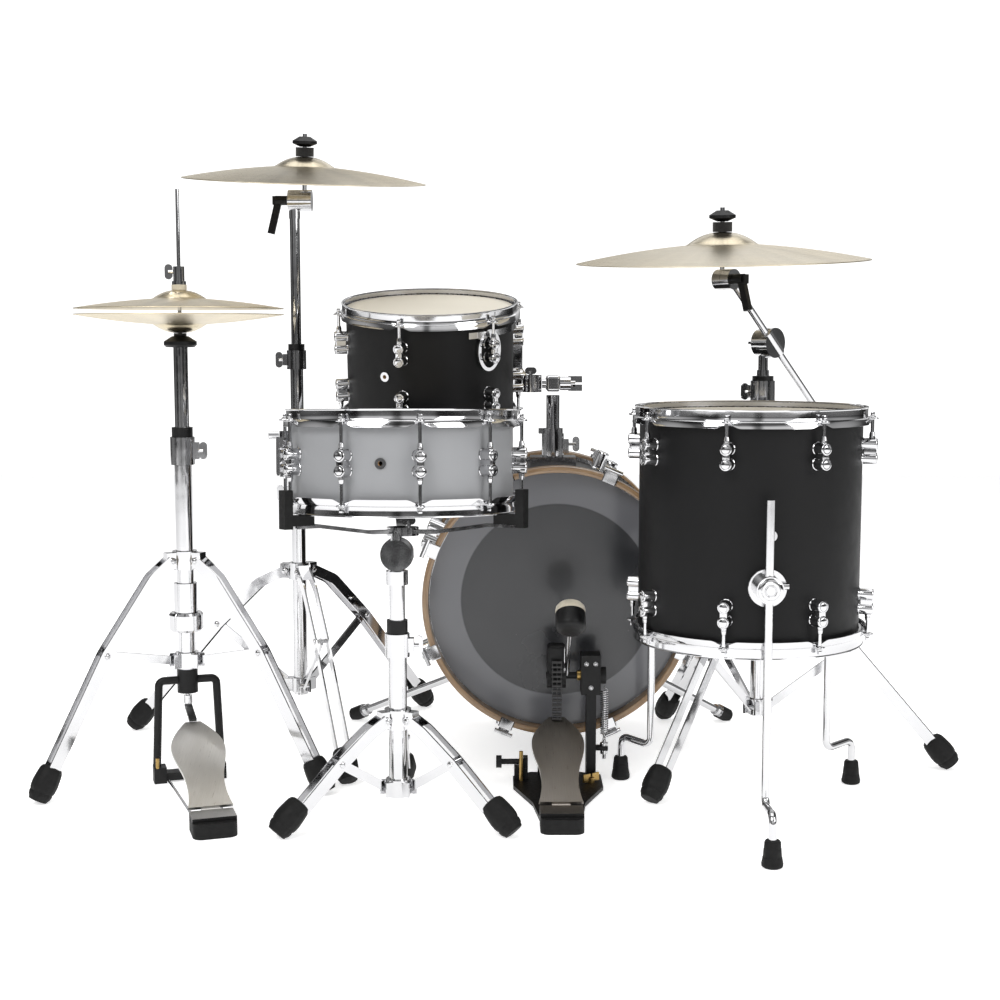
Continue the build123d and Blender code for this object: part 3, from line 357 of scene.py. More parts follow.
def hoop_maple(name, centre):
    """Lacquered maple bent round the drum's axis, the grain running along the bend."""
    mat, tree, shader = new_material(name)
    coords = object_coords(tree, centre)
    out, angle, split = radial(tree, coords, "XZ")
    join = tree.nodes.new("ShaderNodeCombineXYZ")
    tree.links.new(math(tree, "MULTIPLY", angle, 0.9), join.inputs[0])
    tree.links.new(math(tree, "MULTIPLY", out, 60.0), join.inputs[1])
    tree.links.new(math(tree, "MULTIPLY", split.outputs["Y"], 60.0), join.inputs[2])
    grain = noise(tree, join.outputs[0], 5.0, 6.0, 0.62)
    fleck = noise(tree, join.outputs[0], 34.0, 3.0)
    base = ramp(tree, grain, [(0.28, rgb(112, 84, 56)), (0.5, rgb(146, 117, 84)), (0.72, rgb(164, 136, 102))])
    flecked = mix_color(tree, spread(tree, fleck, 0.0, 0.4, 0.5, 0.8), base, rgb(92, 68, 45))
    tree.links.new(flecked, shader.inputs["Base Color"])
    tree.links.new(spread(tree, grain, 0.28, 0.42), shader.inputs["Roughness"])
    tree.links.new(bump(tree, grain, 0.12), shader.inputs["Normal"])
    shader.inputs["Coat Weight"].default_value = 0.7
    shader.inputs["Coat Roughness"].default_value = 0.12
    return mat


def drum_film(name, centre, rotation, radius, inner, outer, edge_at,
              axis="XY", rough=(0.45, 0.6), coat=0.0, soft=0.004):
    """A drumhead whose middle and rim differ, with a fine sprayed texture and a worn middle."""
    mat, tree, shader = new_material(name)
    coords = object_coords(tree, centre, rotation)
    out, _, _ = radial(tree, coords, axis)
    inside = spread(tree, out, 1.0, 0.0, edge_at - soft, edge_at + soft)
    speck = noise(tree, coords, 1500.0, 2.0)
    slow = noise(tree, coords, 12.0, 4.0)
    worn = spread(tree, out, 0.55, 0.0, 0.0, radius * 0.8)
    middle = mix_color(tree, math(tree, "MULTIPLY", worn, slow), inner, shade(inner, 0.82))
    grain = mix_color(tree, spread(tree, speck, 0.0, 0.25), middle, shade(inner, 1.12))
    tree.links.new(mix_color(tree, inside, outer, grain), shader.inputs["Base Color"])
    rough_mix = math(tree, "ADD", math(tree, "MULTIPLY", inside, rough[1] - rough[0]), rough[0])
    tree.links.new(math(tree, "ADD", rough_mix, spread(tree, slow, -0.05, 0.05)), shader.inputs["Roughness"])
    tree.links.new(bump(tree, math(tree, "MULTIPLY", speck, inside), 0.2), shader.inputs["Normal"])
    shader.inputs["Coat Weight"].default_value = coat
    shader.inputs["Coat Roughness"].default_value = 0.1
    return mat


# ---------------------------------------------------------------- mesh making
class Piece:
    """Collects shapes in one mesh, each part with its own finish."""

    def __init__(self, name):
        self.name = name
        self.mesh = bmesh.new()
        self.finishes = []

    def _add(self, verts, faces, matrix, finish):
        if finish not in self.finishes:
            self.finishes.append(finish)
        index = self.finishes.index(finish)
        made = [self.mesh.verts.new(matrix @ Vector(v)) for v in verts]
        for face in faces:
            corners = [made[i] for i in face]
            if len(set(corners)) > 2:
                self.mesh.faces.new(corners).material_index = index

    def lathe(self, matrix, outline, finish, steps=40, flute=None):
        """A turned shape from (radius, height) points; flute is (count, depth) of ridges round it."""
        verts, faces = [], []
        for radius, height in outline:
            for k in range(steps):
                angle = tau * k / steps
                r = radius * (1 + flute[1] * cos(flute[0] * angle)) if flute else radius
                verts.append((r * cos(angle), r * sin(angle), height))
        for i in range(len(outline) - 1):
            for k in range(steps):
                a, b = i * steps + k, i * steps + (k + 1) % steps
                faces.append((a, b, b + steps, a + steps))
        if outline[0][0] > 0 and outline[0] != outline[-1]:
            faces.append(tuple(range(steps))[::-1])
            faces.append(tuple(range((len(outline) - 1) * steps, len(outline) * steps)))
        self._add(verts, faces, matrix, finish)

    def tube(self, points, radius, finish, sides):
        """A round bar along points in metres, its frame carried along without twist."""
        points = [Vector(p) for p in points]
        count = len(points)
        verts, faces = [], []
        side = None
        for i, point in enumerate(points):
            forward = points[min(i + 1, count - 1)] - points[max(i - 1, 0)]
            forward.normalize()
            if side is None:
                side = forward.orthogonal().normalized()
            side = (side - forward * side.dot(forward)).normalized()
            other = forward.cross(side)
            for k in range(sides):
                angle = tau * k / sides
                verts.append(point + (side * cos(angle) + other * sin(angle)) * radius)
        for i in range(count - 1):
            j = i + 1
            for k in range(sides):
                n = (k + 1) % sides
                faces.append((i * sides + k, i * sides + n, j * sides + n, j * sides + k))
        faces.append(tuple(range(sides))[::-1])
        faces.append(tuple(range((count - 1) * sides, count * sides)))
        self._add(verts, faces, Matrix(), finish)

    def box(self, matrix, centre, size, finish, bevel, segments=2):
        """A box with rounded edges."""
        part = bmesh.new()
        bmesh.ops.create_cube(part, size=1.0)
        bmesh.ops.scale(part, vec=size, verts=part.verts)
        bevel = min(bevel, min(size) * 0.45)
        bmesh.ops.bevel(part, geom=part.edges[:], offset=bevel, segments=segments, affect="EDGES", profile=0.5)
        bmesh.ops.translate(part, vec=centre, verts=part.verts)
        self._take(part, matrix, finish)

    def plate(self, matrix, outline, low, high, finish, bevel):
        """A flat shape extruded along Z with rounded rims."""
        part = bmesh.new()
        base = [part.verts.new((x, y, low)) for x, y in outline]
        face = part.faces.new(base)
        grown = bmesh.ops.extrude_face_region(part, geom=[face])
        moved = [v for v in grown["geom"] if isinstance(v, bmesh.types.BMVert)]
        bmesh.ops.translate(part, vec=(0, 0, high - low), verts=moved)
        bmesh.ops.recalc_face_normals(part, faces=part.faces[:])
        rims = [e for e in part.edges if abs(e.verts[0].co.z - e.verts[1].co.z) < 1e-6]
        bmesh.ops.bevel(part, geom=rims, offset=bevel, segments=2, affect="EDGES", profile=0.5)
        self._take(part, matrix, finish)

    def _take(self, part, matrix, finish):
        part.verts.ensure_lookup_table()
        part.verts.index_update()
        verts = [v.co.copy() for v in part.verts]
        faces = [tuple(v.index for v in f.verts) for f in part.faces]
        part.free()
        self._add(verts, faces, matrix, finish)

    def done(self, body, slot, replaces=(), matrix=None, sharp=32.0, bends=None):
        """Make the object, let it ride on a body or, given bends, leave it unparented where it stands, and hide
        the CAD nodes it replaces.
        """
        bmesh.ops.recalc_face_normals(self.mesh, faces=self.mesh.faces[:])
        data = bpy.data.meshes.new(self.name)
        self.mesh.to_mesh(data)
        self.mesh.free()
        for finish in self.finishes:
            data.materials.append(finish)
        data.polygons.foreach_set("use_smooth", [True] * len(data.polygons))
        data.set_sharp_from_angle(angle=radians(sharp))
        obj = bpy.data.objects.new(self.name, data)
        if matrix is not None:
            obj.matrix_world = matrix
        bpy.context.scene.collection.objects.link(obj)
        if bends:
            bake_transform(obj)
        else:
            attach(obj, body)
        if replaces:
            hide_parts(*replaces)


def arc(centre, radius, start, end, steps=8):
    """Points round an arc in a plane, angles in degrees."""
    return [
        (centre[0] + radius * cos(radians(start + (end - start) * k / steps)),
         centre[1] + radius * sin(radians(start + (end - start) * k / steps)))
        for k in range(steps + 1)
    ]


def paint(node, *finishes, by=None):
    """Give a CAD node its finishes; by(x, y, z), in drawing millimetres, picks each face's finish."""
    obj = NODES[node]
    data = obj.data
    data.materials.clear()
    for finish in finishes:
        data.materials.append(finish)
    if by is None:
        data.polygons.foreach_set("material_index", [0] * len(data.polygons))
        return
    picks = []
    for polygon in data.polygons:
        x, y, z = polygon.center
        picks.append(by(x / MM + ORIGIN[0], y / MM + ORIGIN[1], z / MM))
    data.polygons.foreach_set("material_index", picks)


# ---------------------------------------------------------------- sizes shared with the model
CRASH_AT = (-404.0, 246.0)
RIDE_AT = (460.0, 78.0)
HAT_AT = (-567.0, -40.0)
SNARE_STAND_AT = (-181.0, -262.0)
SNARE_AT = (-172.0, -252.0, 586.0)
TOM_AT = (-143.0, 134.0, 735.0)
FLOOR_AT = (389.0, -230.0, 483.0)
BASS_AT = (88.0, 311.0)
BASS_MID_Y = 205.8
BASS_CENTRE = (BASS_AT[0], 0.0, BASS_AT[1])
BASS_R, TOM_R, FLOOR_R, SNARE_R = 228.6, 152.4, 177.8, 177.8
TOM_DEPTH, FLOOR_DEPTH, SNARE_DEPTH = 203.2, 355.6, 139.7
TOM_TILT, SNARE_TILT = 10.0, -2.8
SNARE_TILT_Z = 434.0
HAT_TOP_EDGE_Z, HAT_BOTTOM_EDGE_Z = 831.0, 819.5
# A cymbal's radius, bell radius, bell height and the rise of its bow.
CRASH_SHAPE = (228.6, 56.0, 19.0, 25.0)
RIDE_SHAPE = (254.0, 62.0, 22.0, 28.0)
HAT_SHAPE = (177.8, 46.0, 15.0, 16.0)
CRASH_TILT_AT = Vector((CRASH_AT[0] + 11.0, CRASH_AT[1], 1038.0))
BOOM_DIR = Vector((-0.55, -0.48, 0.683)).normalized()
BOOM_AXIS = Vector((0.48, -0.55, 0.0)).normalized()
BOOM_PIVOT = Vector((RIDE_AT[0], RIDE_AT[1], 771.0)) + BOOM_AXIS * 9.3
RIDE_TILT_AT = BOOM_PIVOT + BOOM_DIR * 161.0 + BOOM_AXIS * 1.7
# Where each leaning cymbal stem starts, and its tilts about X and Y in degrees.
CRASH_STEM = (CRASH_TILT_AT + Vector((8, 0, 0)), 7.0, 2.0)
RIDE_STEM = (RIDE_TILT_AT - BOOM_AXIS * 9.3, 4.4, -1.2)
# The bottoms of the stands' black locks.
CRASH_LOCK_Z, RIDE_LOCK_Z, SNARE_LOCK_Z, HAT_LOCK_Z = 756.5, 703.3, 306.3, 609.3
# The legs as (distance from the stand's axis, height), and the angles they stand at.
TALL_LEG = ((26, 331), (80, 306), (166, 222), (312, 52))
SNARE_LEG = ((24, 166), (52, 150), (106, 106), (172, 42))
HAT_LEG = ((26, 394), (60, 366), (148, 240), (243, 58))
STANDS = (
    (SNARE_STAND_AT, SNARE_LEG, (211.0, -29.0, 91.0)),
    (HAT_AT, HAT_LEG, (213.0, -20.0)),
    (CRASH_AT, TALL_LEG, (169.7, 48.1, -69.3)),
    (RIDE_AT, TALL_LEG, (-9.0, 113.6, -129.6)),
)
FLOOR_LEG_ANGLES = (-90.0, 134.5, 37.5)
FLOOR_FOOT_OUT = 270.0
FLOOR_BRACKET_Z = -78.0
SPURS = (("left", -1, (-309, 391, 12)), ("right", 1, (446, 383, 12)))
# The bass pedal: its middle, axle, beater, chain and spring.
PEDAL_X, BEATER_X, SPRING_X = 84.0, 102.0, 169.0
AXLE_Y, AXLE_Z = -52.0, 190.0
BEATER_LEAN, BEATER_L = 48.0, 192.0
CHAIN_Y = -81.0
HEEL_TOP = 30.0
HAT_YAW = 18.0


def tilted_snare(point):
    """A point of the snare after its basket leans about the tilter."""
    tilter = Vector((*SNARE_STAND_AT, SNARE_TILT_Z))
    return Matrix.Rotation(radians(SNARE_TILT), 3, "X") @ (Vector(point) - tilter) + tilter


SNARE_MID = tilted_snare(SNARE_AT)


def lean_matrix(origin, tilt_x, tilt_y):
    """The local frame of a cymbal stem, in metres."""
    turn = Matrix.Rotation(radians(tilt_x), 4, "X") @ Matrix.Rotation(radians(tilt_y), 4, "Y")
    return Matrix.Translation(at(*origin)) @ turn


def stem_distance(origin, tilt_x, tilt_y):
    """A function that gives (distance from a leaning stem, height along it) of a drawing point."""
    inverse = lean_matrix(origin, tilt_x, tilt_y).inverted()

    def measure(x, y, z):
        local = inverse @ at(x, y, z)
        return hypot(local.x, local.y) / MM, local.z / MM

    return measure


# ---------------------------------------------------------------- finishes
# name, colour, roughness, metallic, colour drift and its scale, gloss swing, grain and its scale
chrome = surface("chrome", (0.60, 0.60, 0.61, 1), 0.08, 1.0, 0.04, 9.0, 0.035, 0.01, 700.0, wobble=0.10)
steel = surface("plain_steel", (0.52, 0.52, 0.53, 1), 0.28, 1.0, 0.1, 40.0, 0.08, 0.06, 900.0)
brass_screw = surface("brass_screw", rgb(170, 142, 88), 0.3, 1.0, 0.08, 40.0, 0.06, 0.05, 900.0)
black_lacquer = surface("black_lacquer", rgb(13, 13, 14), 0.48, 0.0, 0.10, 7.0, 0.05, 0.05, 1200.0, 0.22)
grey_lacquer = surface("grey_lacquer", rgb(146, 147, 149), 0.45, 0.0, 0.03, 7.0, 0.05, 0.04, 1200.0, 0.35)
ply = surface("bare_ply", rgb(196, 166, 124), 0.55, 0.0, 0.12, 22.0, 0.08, 0.15, 500.0)
powder = surface("black_powder_coat", rgb(11, 11, 12), 0.46, 0.0, 0.12, 30.0, 0.08, 0.35, 1800.0, 0.3)
plastic = surface("black_plastic", rgb(10, 10, 11), 0.42, 0.0, 0.10, 30.0, 0.08, 0.10, 1500.0, 0.3)
rubber = surface("rubber", rgb(15, 15, 15), 0.66, 0.0, 0.12, 26.0, 0.10, 0.3, 1100.0, 0.25)
felt_dark = surface("dark_felt", rgb(16, 15, 15), 0.95, 0.0, 0.25, 60.0, 0.04, 0.9, 1400.0, sheen=0.4)
felt_pale = surface("pale_felt", rgb(205, 196, 176), 0.95, 0.0, 0.12, 60.0, 0.04, 0.9, 1400.0, sheen=0.4)
chain_steel = surface("chain_steel", (0.07, 0.07, 0.07, 1), 0.36, 1.0, 0.2, 60.0, 0.08, 0.1, 900.0)
board_steel = brushed("brushed_board", (0.56, 0.55, 0.53, 1), 0.34, (1.0, 0.02, 0.02), 1500.0)
board_dark = brushed("brushed_board_dark", (0.38, 0.35, 0.315, 1), 0.34, (1.0, 0.02, 0.02), 1500.0)
maple = hoop_maple("hoop_maple", at(*BASS_CENTRE))


# ---------------------------------------------------------------- cymbals
def cymbal_outline(radius, bell_r, bell_h, rise, hole=6.5, thick=1.3, steps=44):
    """The upper and lower surface of a bowed cymbal, from the hole out and back, in millimetres."""
    top = []
    for k in range(steps + 1):
        t = k / steps
        r = hole + (radius - hole) * t
        if r < bell_r:
            u = (r - hole) / (bell_r - hole)
            z = rise + bell_h * (1 - u ** 2.3) * (1 - 0.12 * u)
        else:
            u = (r - bell_r) / (radius - bell_r)
            z = rise * (1 - 0.55 * u - 0.45 * u * u)
        top.append((r, z))
    under = [(r, z - thick) for r, z in reversed(top)]
    return top + [(radius + 0.35, -thick / 2)] + under


def make_cymbal(name, node, body, matrix, shape, finish):
    piece = Piece(name)
    outline = cymbal_outline(*shape)
    piece.lathe(Matrix.Scale(MM, 4), outline + [outline[0]], finish, steps=160)
    piece.done(body, "bronze", (node,), matrix=matrix, sharp=60.0)


def make_cymbals():
    """The four bronze plates, each in its own frame so that the lathe rings run round its middle."""
    soft = rgb(206, 197, 176)
    crash = cymbal_bronze("crash_bronze", soft, 0.056)
    ride = cymbal_bronze("ride_bronze", soft, 0.062)
    hats = cymbal_bronze("hat_bronze", rgb(222, 210, 182), 0.046)
    crash_seat = lean_matrix(*CRASH_STEM) @ Matrix.Translation((0, 0, 0.037))
    make_cymbal("crash_plate", "crash_cymbal", "crash_cymbal", crash_seat, CRASH_SHAPE, crash)
    ride_seat = lean_matrix(*RIDE_STEM) @ Matrix.Translation((0, 0, 0.032))
    make_cymbal("ride_plate", "ride_cymbal", "ride_cymbal", ride_seat, RIDE_SHAPE, ride)
    upper = Matrix.Translation(at(*HAT_AT, HAT_TOP_EDGE_Z))
    make_cymbal("hat_top_plate", "hihat_top_cymbal", "hihat_top", upper, HAT_SHAPE, hats)
    lower = Matrix.Translation(at(*HAT_AT, HAT_BOTTOM_EDGE_Z)) @ Matrix.Rotation(pi, 4, "X")
    make_cymbal("hat_bottom_plate", "hihat_bottom_cymbal", "hihat_tube", lower, HAT_SHAPE, hats)


# ---------------------------------------------------------------- feet
TRIPOD_FOOT = (
    (0.01, 0), (13, 0), (17, 2), (19.4, 7), (20.4, 13), (21.4, 22), (22, 30), (21.6, 38), (20.6, 43),
    (19.4, 44.5), (19.4, 46), (20.0, 47.5), (19.0, 53), (16.5, 57), (15.6, 60), (14.0, 60.5), (0.01, 60.5),
)
FLOOR_TOM_FOOT = (
    (0.01, 0), (13.5, 0), (16, 2), (16.4, 6), (14.8, 14), (14.8, 15.5), (14.2, 16),
    (13.4, 27), (13.4, 28.5), (12.9, 29), (12.4, 38), (10.5, 41), (0.01, 41),
)


def make_feet():
    """Ribbed rubber feet on every tripod leg, and tapered ones on the floor tom's legs."""
    piece = Piece("feet")
    for (x, y), leg, angles in STANDS:
        (s0, z0), (s1, z1) = leg[-2], leg[-1]
        run = hypot(s1 - s0, z1 - z0)
        ds, dz = (s1 - s0) / run, (z1 - z0) / run
        for angle in angles:
            out = Vector((cos(radians(angle)), sin(radians(angle)), 0))
            start = Vector((x, y, 0)) + out * s1
            start.z = -(60.0 * dz) + 17.0 * ds - 2.0
            matrix = placed(start, out * ds + Vector((0, 0, dz)))
            piece.lathe(matrix, TRIPOD_FOOT, rubber, 48, flute=(12, 0.018))
    # The leaning feet are flat where they meet the floor.
    for vert in piece.mesh.verts:
        vert.co.z = max(vert.co.z, 0.0)
    for angle in FLOOR_LEG_ANGLES:
        out = Vector((cos(radians(angle)), sin(radians(angle)), 0)) * FLOOR_FOOT_OUT
        matrix = placed((FLOOR_AT[0] + out.x, FLOOR_AT[1] + out.y, 0))
        piece.lathe(matrix, FLOOR_TOM_FOOT, rubber, 40, flute=(10, 0.012))
    piece.done("kit", "rubber", ("rubber_feet",))


# ---------------------------------------------------------------- CAD nodes and their finishes
def paint_stands():
    """Chrome stands with black plastic locks, levers and felts."""
    for node, (cx, cy), limit, lock in (
        ("crash_tripod", CRASH_AT, 17, CRASH_LOCK_Z),
        ("ride_tripod", RIDE_AT, 20, RIDE_LOCK_Z),
        ("hihat_tripod", HAT_AT, 19, HAT_LOCK_Z),
    ):
        def locked(x, y, z, cx=cx, cy=cy, limit=limit, lock=lock):
            return int(z > lock and hypot(x - cx, y - cy) < limit)

        paint(node, chrome, plastic, by=locked)

    def snare_pick(x, y, z):
        near = hypot(x - SNARE_STAND_AT[0], y - SNARE_STAND_AT[1]) < 18
        return int((z > SNARE_LOCK_Z or z < 38) and near)

    paint("snare_tripod", chrome, plastic, by=snare_pick)
    for node in ("snare_post", "snare_basket", "ride_upper_tube"):
        paint(node, chrome)
    paint("snare_basket_grips", rubber)
    paint("crash_upper_tube", chrome, plastic, by=lambda x, y, z: int(x < CRASH_TILT_AT.x - 22.4 and z > 960))

    def boom_pick(x, y, z):
        return int((Vector((x, y, z)) - RIDE_TILT_AT).dot(BOOM_AXIS) > 18.45 and z > 790)

    paint("ride_boom_arm", chrome, plastic, by=boom_pick)
    for node, stem, low in (("crash_tilter", CRASH_STEM, 69.5), ("ride_tilter", RIDE_STEM, 70.5)):
        measure = stem_distance(*stem)

        def pick(x, y, z, measure=measure, low=low):
            out, up = measure(x, y, z)
            if up < low or out < 4.4:
                return 0
            return 1 if up > low + 28 else 2

        paint(node, chrome, plastic, felt_dark, by=pick)


def paint_hat():
    """Hi-hat tube, clutch and rod."""
    def pick(x, y, z):
        out = hypot(x - HAT_AT[0], y - HAT_AT[1])
        if z > 783.2:
            return 2
        return 1 if z > 764 and out > 5 else 0

    paint("hihat_upper_tube", chrome, plastic, felt_dark, by=pick)

    def clutch(x, y, z):
        out = hypot(x - HAT_AT[0], y - HAT_AT[1])
        return 1 if out > 5.2 and (851 <= z <= 859.6 or 861.9 < z < 871.2) else 0

    paint("hihat_clutch", chrome, felt_pale, by=clutch)
    paint("hihat_pull_rod", chrome)


def drum_picker(centre, radius, tilt=0.0):
    """A picker: 0 for the outside, 1 for the inside and edges of the wood, 2 for what stands proud of it."""
    turn = Matrix.Rotation(radians(-tilt), 3, "X")

    def pick(x, y, z):
        local = turn @ (Vector((x, y, z)) - Vector(centre))
        out = hypot(local.x, local.y)
        if out > radius + 0.35:
            return 2
        return 0 if out > radius - 0.4 else 1

    return pick


def paint_drums():
    """Shells, heads, spurs and the smaller chrome parts of the drums."""
    def from_bass_axis(x, z):
        return hypot(x - BASS_AT[0], z - BASS_AT[1])

    paint("bass_shell", black_lacquer, ply, by=lambda x, y, z: int(from_bass_axis(x, z) < BASS_R - 0.5))
    paint("rack_tom_shell", black_lacquer, ply, chrome, by=drum_picker(TOM_AT, TOM_R, TOM_TILT))
    paint("floor_tom_shell", black_lacquer, ply, chrome, by=drum_picker(FLOOR_AT, FLOOR_R))
    paint("snare_shell", grey_lacquer, ply, chrome, by=drum_picker(SNARE_MID, SNARE_R, SNARE_TILT))
    for node, centre, radius, tilt in (
        ("rack_tom_heads", TOM_AT, TOM_R, TOM_TILT),
        ("floor_tom_heads", FLOOR_AT, FLOOR_R, 0.0),
        ("snare_heads", SNARE_MID, SNARE_R, SNARE_TILT),
    ):
        place = (at(*centre), (radians(tilt), 0, 0), radius * MM)
        coated = drum_film(node + "_coated", *place, rgb(206, 200, 186), rgb(198, 192, 180), (radius - 9) * MM)
        clear = drum_film(node + "_clear", *place, rgb(196, 197, 196), rgb(170, 170, 168), (radius - 4) * MM,
                          rough=(0.2, 0.16), coat=0.5)
        back = Matrix.Rotation(radians(-tilt), 3, "X")

        def pick(x, y, z, centre=centre, back=back, radius=radius):
            local = back @ (Vector((x, y, z)) - Vector(centre))
            if hypot(local.x, local.y) > radius + 0.9:
                return 2
            return 0 if local.z > 0 else 1

        paint(node, coated, clear, steel, by=pick)
    place = (at(*BASS_CENTRE), (0, 0, 0), BASS_R * MM)
    smoke = drum_film("bass_film", *place, rgb(42, 43, 46), rgb(106, 107, 111), 0.1735,
                      axis="XZ", rough=(0.18, 0.24), coat=0.3, soft=0.0012)
    front = drum_film("bass_front_film", *place, rgb(30, 30, 31), rgb(34, 34, 35), 0.21,
                      axis="XZ", rough=(0.2, 0.3), coat=0.5)

    def bass_pick(x, y, z):
        if from_bass_axis(x, z) > BASS_R + 0.9:
            return 2
        return 0 if y < BASS_MID_Y else 1

    paint("bass_heads", smoke, front, steel, by=bass_pick)
    for node in ("bass_claws", "bass_shell_brackets", "floor_tom_leg_brackets", "floor_tom_legs", "tom_post",
                 "tom_arm", "tom_mount_plate", "snare_strainer", "snare_throw_lever"):
        paint(node, chrome)
    paint("snare_wires", steel)
    reach = (BASS_R + 26) * cos(pi / 4)
    for side, sign, foot in SPURS:
        hub = Vector((BASS_AT[0] + sign * reach, 228, BASS_AT[1] - (BASS_R + 26) * sin(pi / 4)))
        along = (Vector(foot) - hub).normalized()
        length = (Vector(foot) - hub).length

        def tip(x, y, z, hub=hub, along=along, length=length):
            return int((Vector((x, y, z)) - hub).dot(along) > length - 23.9)

        paint("bass_spur_" + side, chrome, rubber, by=tip)


# ---------------------------------------------------------------- drum hardware
TOM_ANGLES = [-106.0 + 60 * k for k in range(6)]
FLOOR_ANGLES = [-109.5 + 45 * k for k in range(8)]
SNARE_ANGLES = [-78.6 + 36 * k for k in range(10)]
HOOP_UP, HOOP_DOWN = 12.0, 16.0
ROD_OUT = 15.0
LUG_PITCH, LUG_INSET = 11.5, 58.0
TURRET = (
    (10.4, -3), (10.4, 1.2), (9.5, 2.2), (9.5, 20.8), (9.3, 22.4), (8.7, 23.2),
    (7.3, 23.4), (7.0, 22.6), (6.2, 22.6), (5.9, 23.4), (5.0, 23.8), (0.01, 24.0),
)
OUTWARD = Matrix.Rotation(pi / 2, 4, "Y")


def around(angle, radius, height=0.0):
    """At an angle round the drum, local X pointing outward."""
    return Matrix.Rotation(radians(angle), 4, "Z") @ Matrix.Translation((radius, 0, height))


def hoop_ring(piece, frame, radius, top, angles, steps=360):
    """A pressed steel hoop: rolled rim, band, ridge and a flange whose edge waves up at each rod."""
    inner = radius + 4.8
    rows = []
    for k in range(steps):
        angle = 360.0 * k / steps
        gap = min(abs((angle - a + 180.0) % 360.0 - 180.0) for a in angles)
        away = radians(gap) * (radius + 12.0)
        wave = 3.25 * (1 + cos(pi * min(1.0, away / 21.0)))
        low = top - HOOP_DOWN + wave
        rows.append((
            (inner - 1.6, top + 10.9), (inner - 1.0, top + 11.8), (inner + 0.8, top + HOOP_UP),
            (inner + 2.7, top + 11.8), (inner + 3.4, top + 10.9), (inner + 3.2, top + 9.9),
            (inner + 2.4, top + 9.1), (inner + 2.2, top + 2.0), (inner + 2.3, top - 3.4),
            (inner + 3.0, top - 4.7), (inner + 5.2, top - 5.6), (inner + 6.1, top - 6.6),
            (inner + 7.2, low + 1.0), (inner + 7.4, low + 0.3), (inner + 6.6, low),
            (inner + 5.8, low + 0.4), (inner + 4.4, top - 7.4), (inner + 1.2, top - 6.0),
            (inner, top - 4.4), (inner, top + 9.2), (inner - 1.2, top + 10.0),
        ))
    verts = []
    for k, row in enumerate(rows):
        angle = tau * k / steps
        verts.extend((r * cos(angle), r * sin(angle), z) for r, z in row)
    count = len(rows[0])
    faces = []
    for k in range(steps):
        n = (k + 1) % steps
        for i in range(count):
            j = (i + 1) % count
            faces.append((k * count + i, n * count + i, n * count + j, k * count + j))
    piece._add(verts, faces, frame, chrome)
    root, end = inner + 3.0, radius + ROD_OUT + 1.7
    ear = [(root, -7.5), (end, -7.5)] + arc((end, 0), 7.5, -80, 80, 12) + [(end, 7.5), (root, 7.5)]
    for angle in angles:
        piece.plate(frame @ around(angle, 0.0), ear, top - 7.5, top - 4.5, chrome, 0.7)


def drum_hardware(name, body, centre, radius, depth, tilt, angles, shared=False):
    """Hoops, key rods and turret lugs of one drum; shared lugs stand in one row at mid height."""
    frame = mm_frame(centre, tilt)
    half = depth / 2
    flip = Matrix.Rotation(pi, 4, "X")
    hoops, rods, lugs = Piece(name + "_hoop_pair"), Piece(name + "_key_rods"), Piece(name + "_turrets")
    ear = half - 4.5
    row = 0.0 if shared else half - LUG_INSET
    end = row + LUG_PITCH + 8.0
    collar = end + 1.5
    nut = [
        (0.01, ear), (5.4, ear), (5.6, ear + 0.5), (5.6, ear + 1.5),
        (5.2, ear + 2), (4.3, ear + 2.1), (4.3, ear + 2.9), (0.01, ear + 3.0),
    ]
    sleeve = [
        (2.9, collar - 1), (5.0, collar - 1), (5.0, collar + 1.6), (4.5, collar + 2.2),
        (4.5, collar + 3.2), (4.9, collar + 3.8), (3.9, collar + 9.2), (2.9, collar + 10),
    ]
    for side, turned in ((frame, angles), (frame @ flip, [-a for a in angles])):
        hoop_ring(hoops, side, radius, half, turned)
        for angle in turned:
            spot = side @ around(angle, radius + ROD_OUT)
            rods.lathe(spot, [(2.8, end - 3), (2.8, ear + 1)], chrome, 16)
            rods.lathe(spot, nut, chrome, 28)
            rods.box(spot, (0, 0, ear + 5.6), (6, 6, 6.4), chrome, 0.7)
            rods.lathe(spot, sleeve, chrome, 28)
    for height in ([0.0] if shared else [row, -row]):
        for angle in angles:
            spot = frame @ around(angle, radius, height)
            for offset in (-LUG_PITCH, LUG_PITCH):
                lugs.lathe(spot @ Matrix.Translation((0, 0, offset)) @ OUTWARD, TURRET, chrome, 36)
            lugs.box(spot, (9.6, 0, 0), (24.4, 11.6, 2 * LUG_PITCH), chrome, 1.6, 3)
    hoops.done(body, "chrome", (name + "_hoops",), sharp=38.0)
    rods.done(body, "chrome", (name + "_tension_rods",))
    lugs.done(body, "chrome", (name + "_lugs",))


BASS_LUG_IN = 90.0
BASS_HOOP_R, BASS_HOOP_T, BASS_HOOP_W = 242.5, 11.0, 38.0
BASS_ANGLES = [22.5 + 45 * k for k in range(8)]


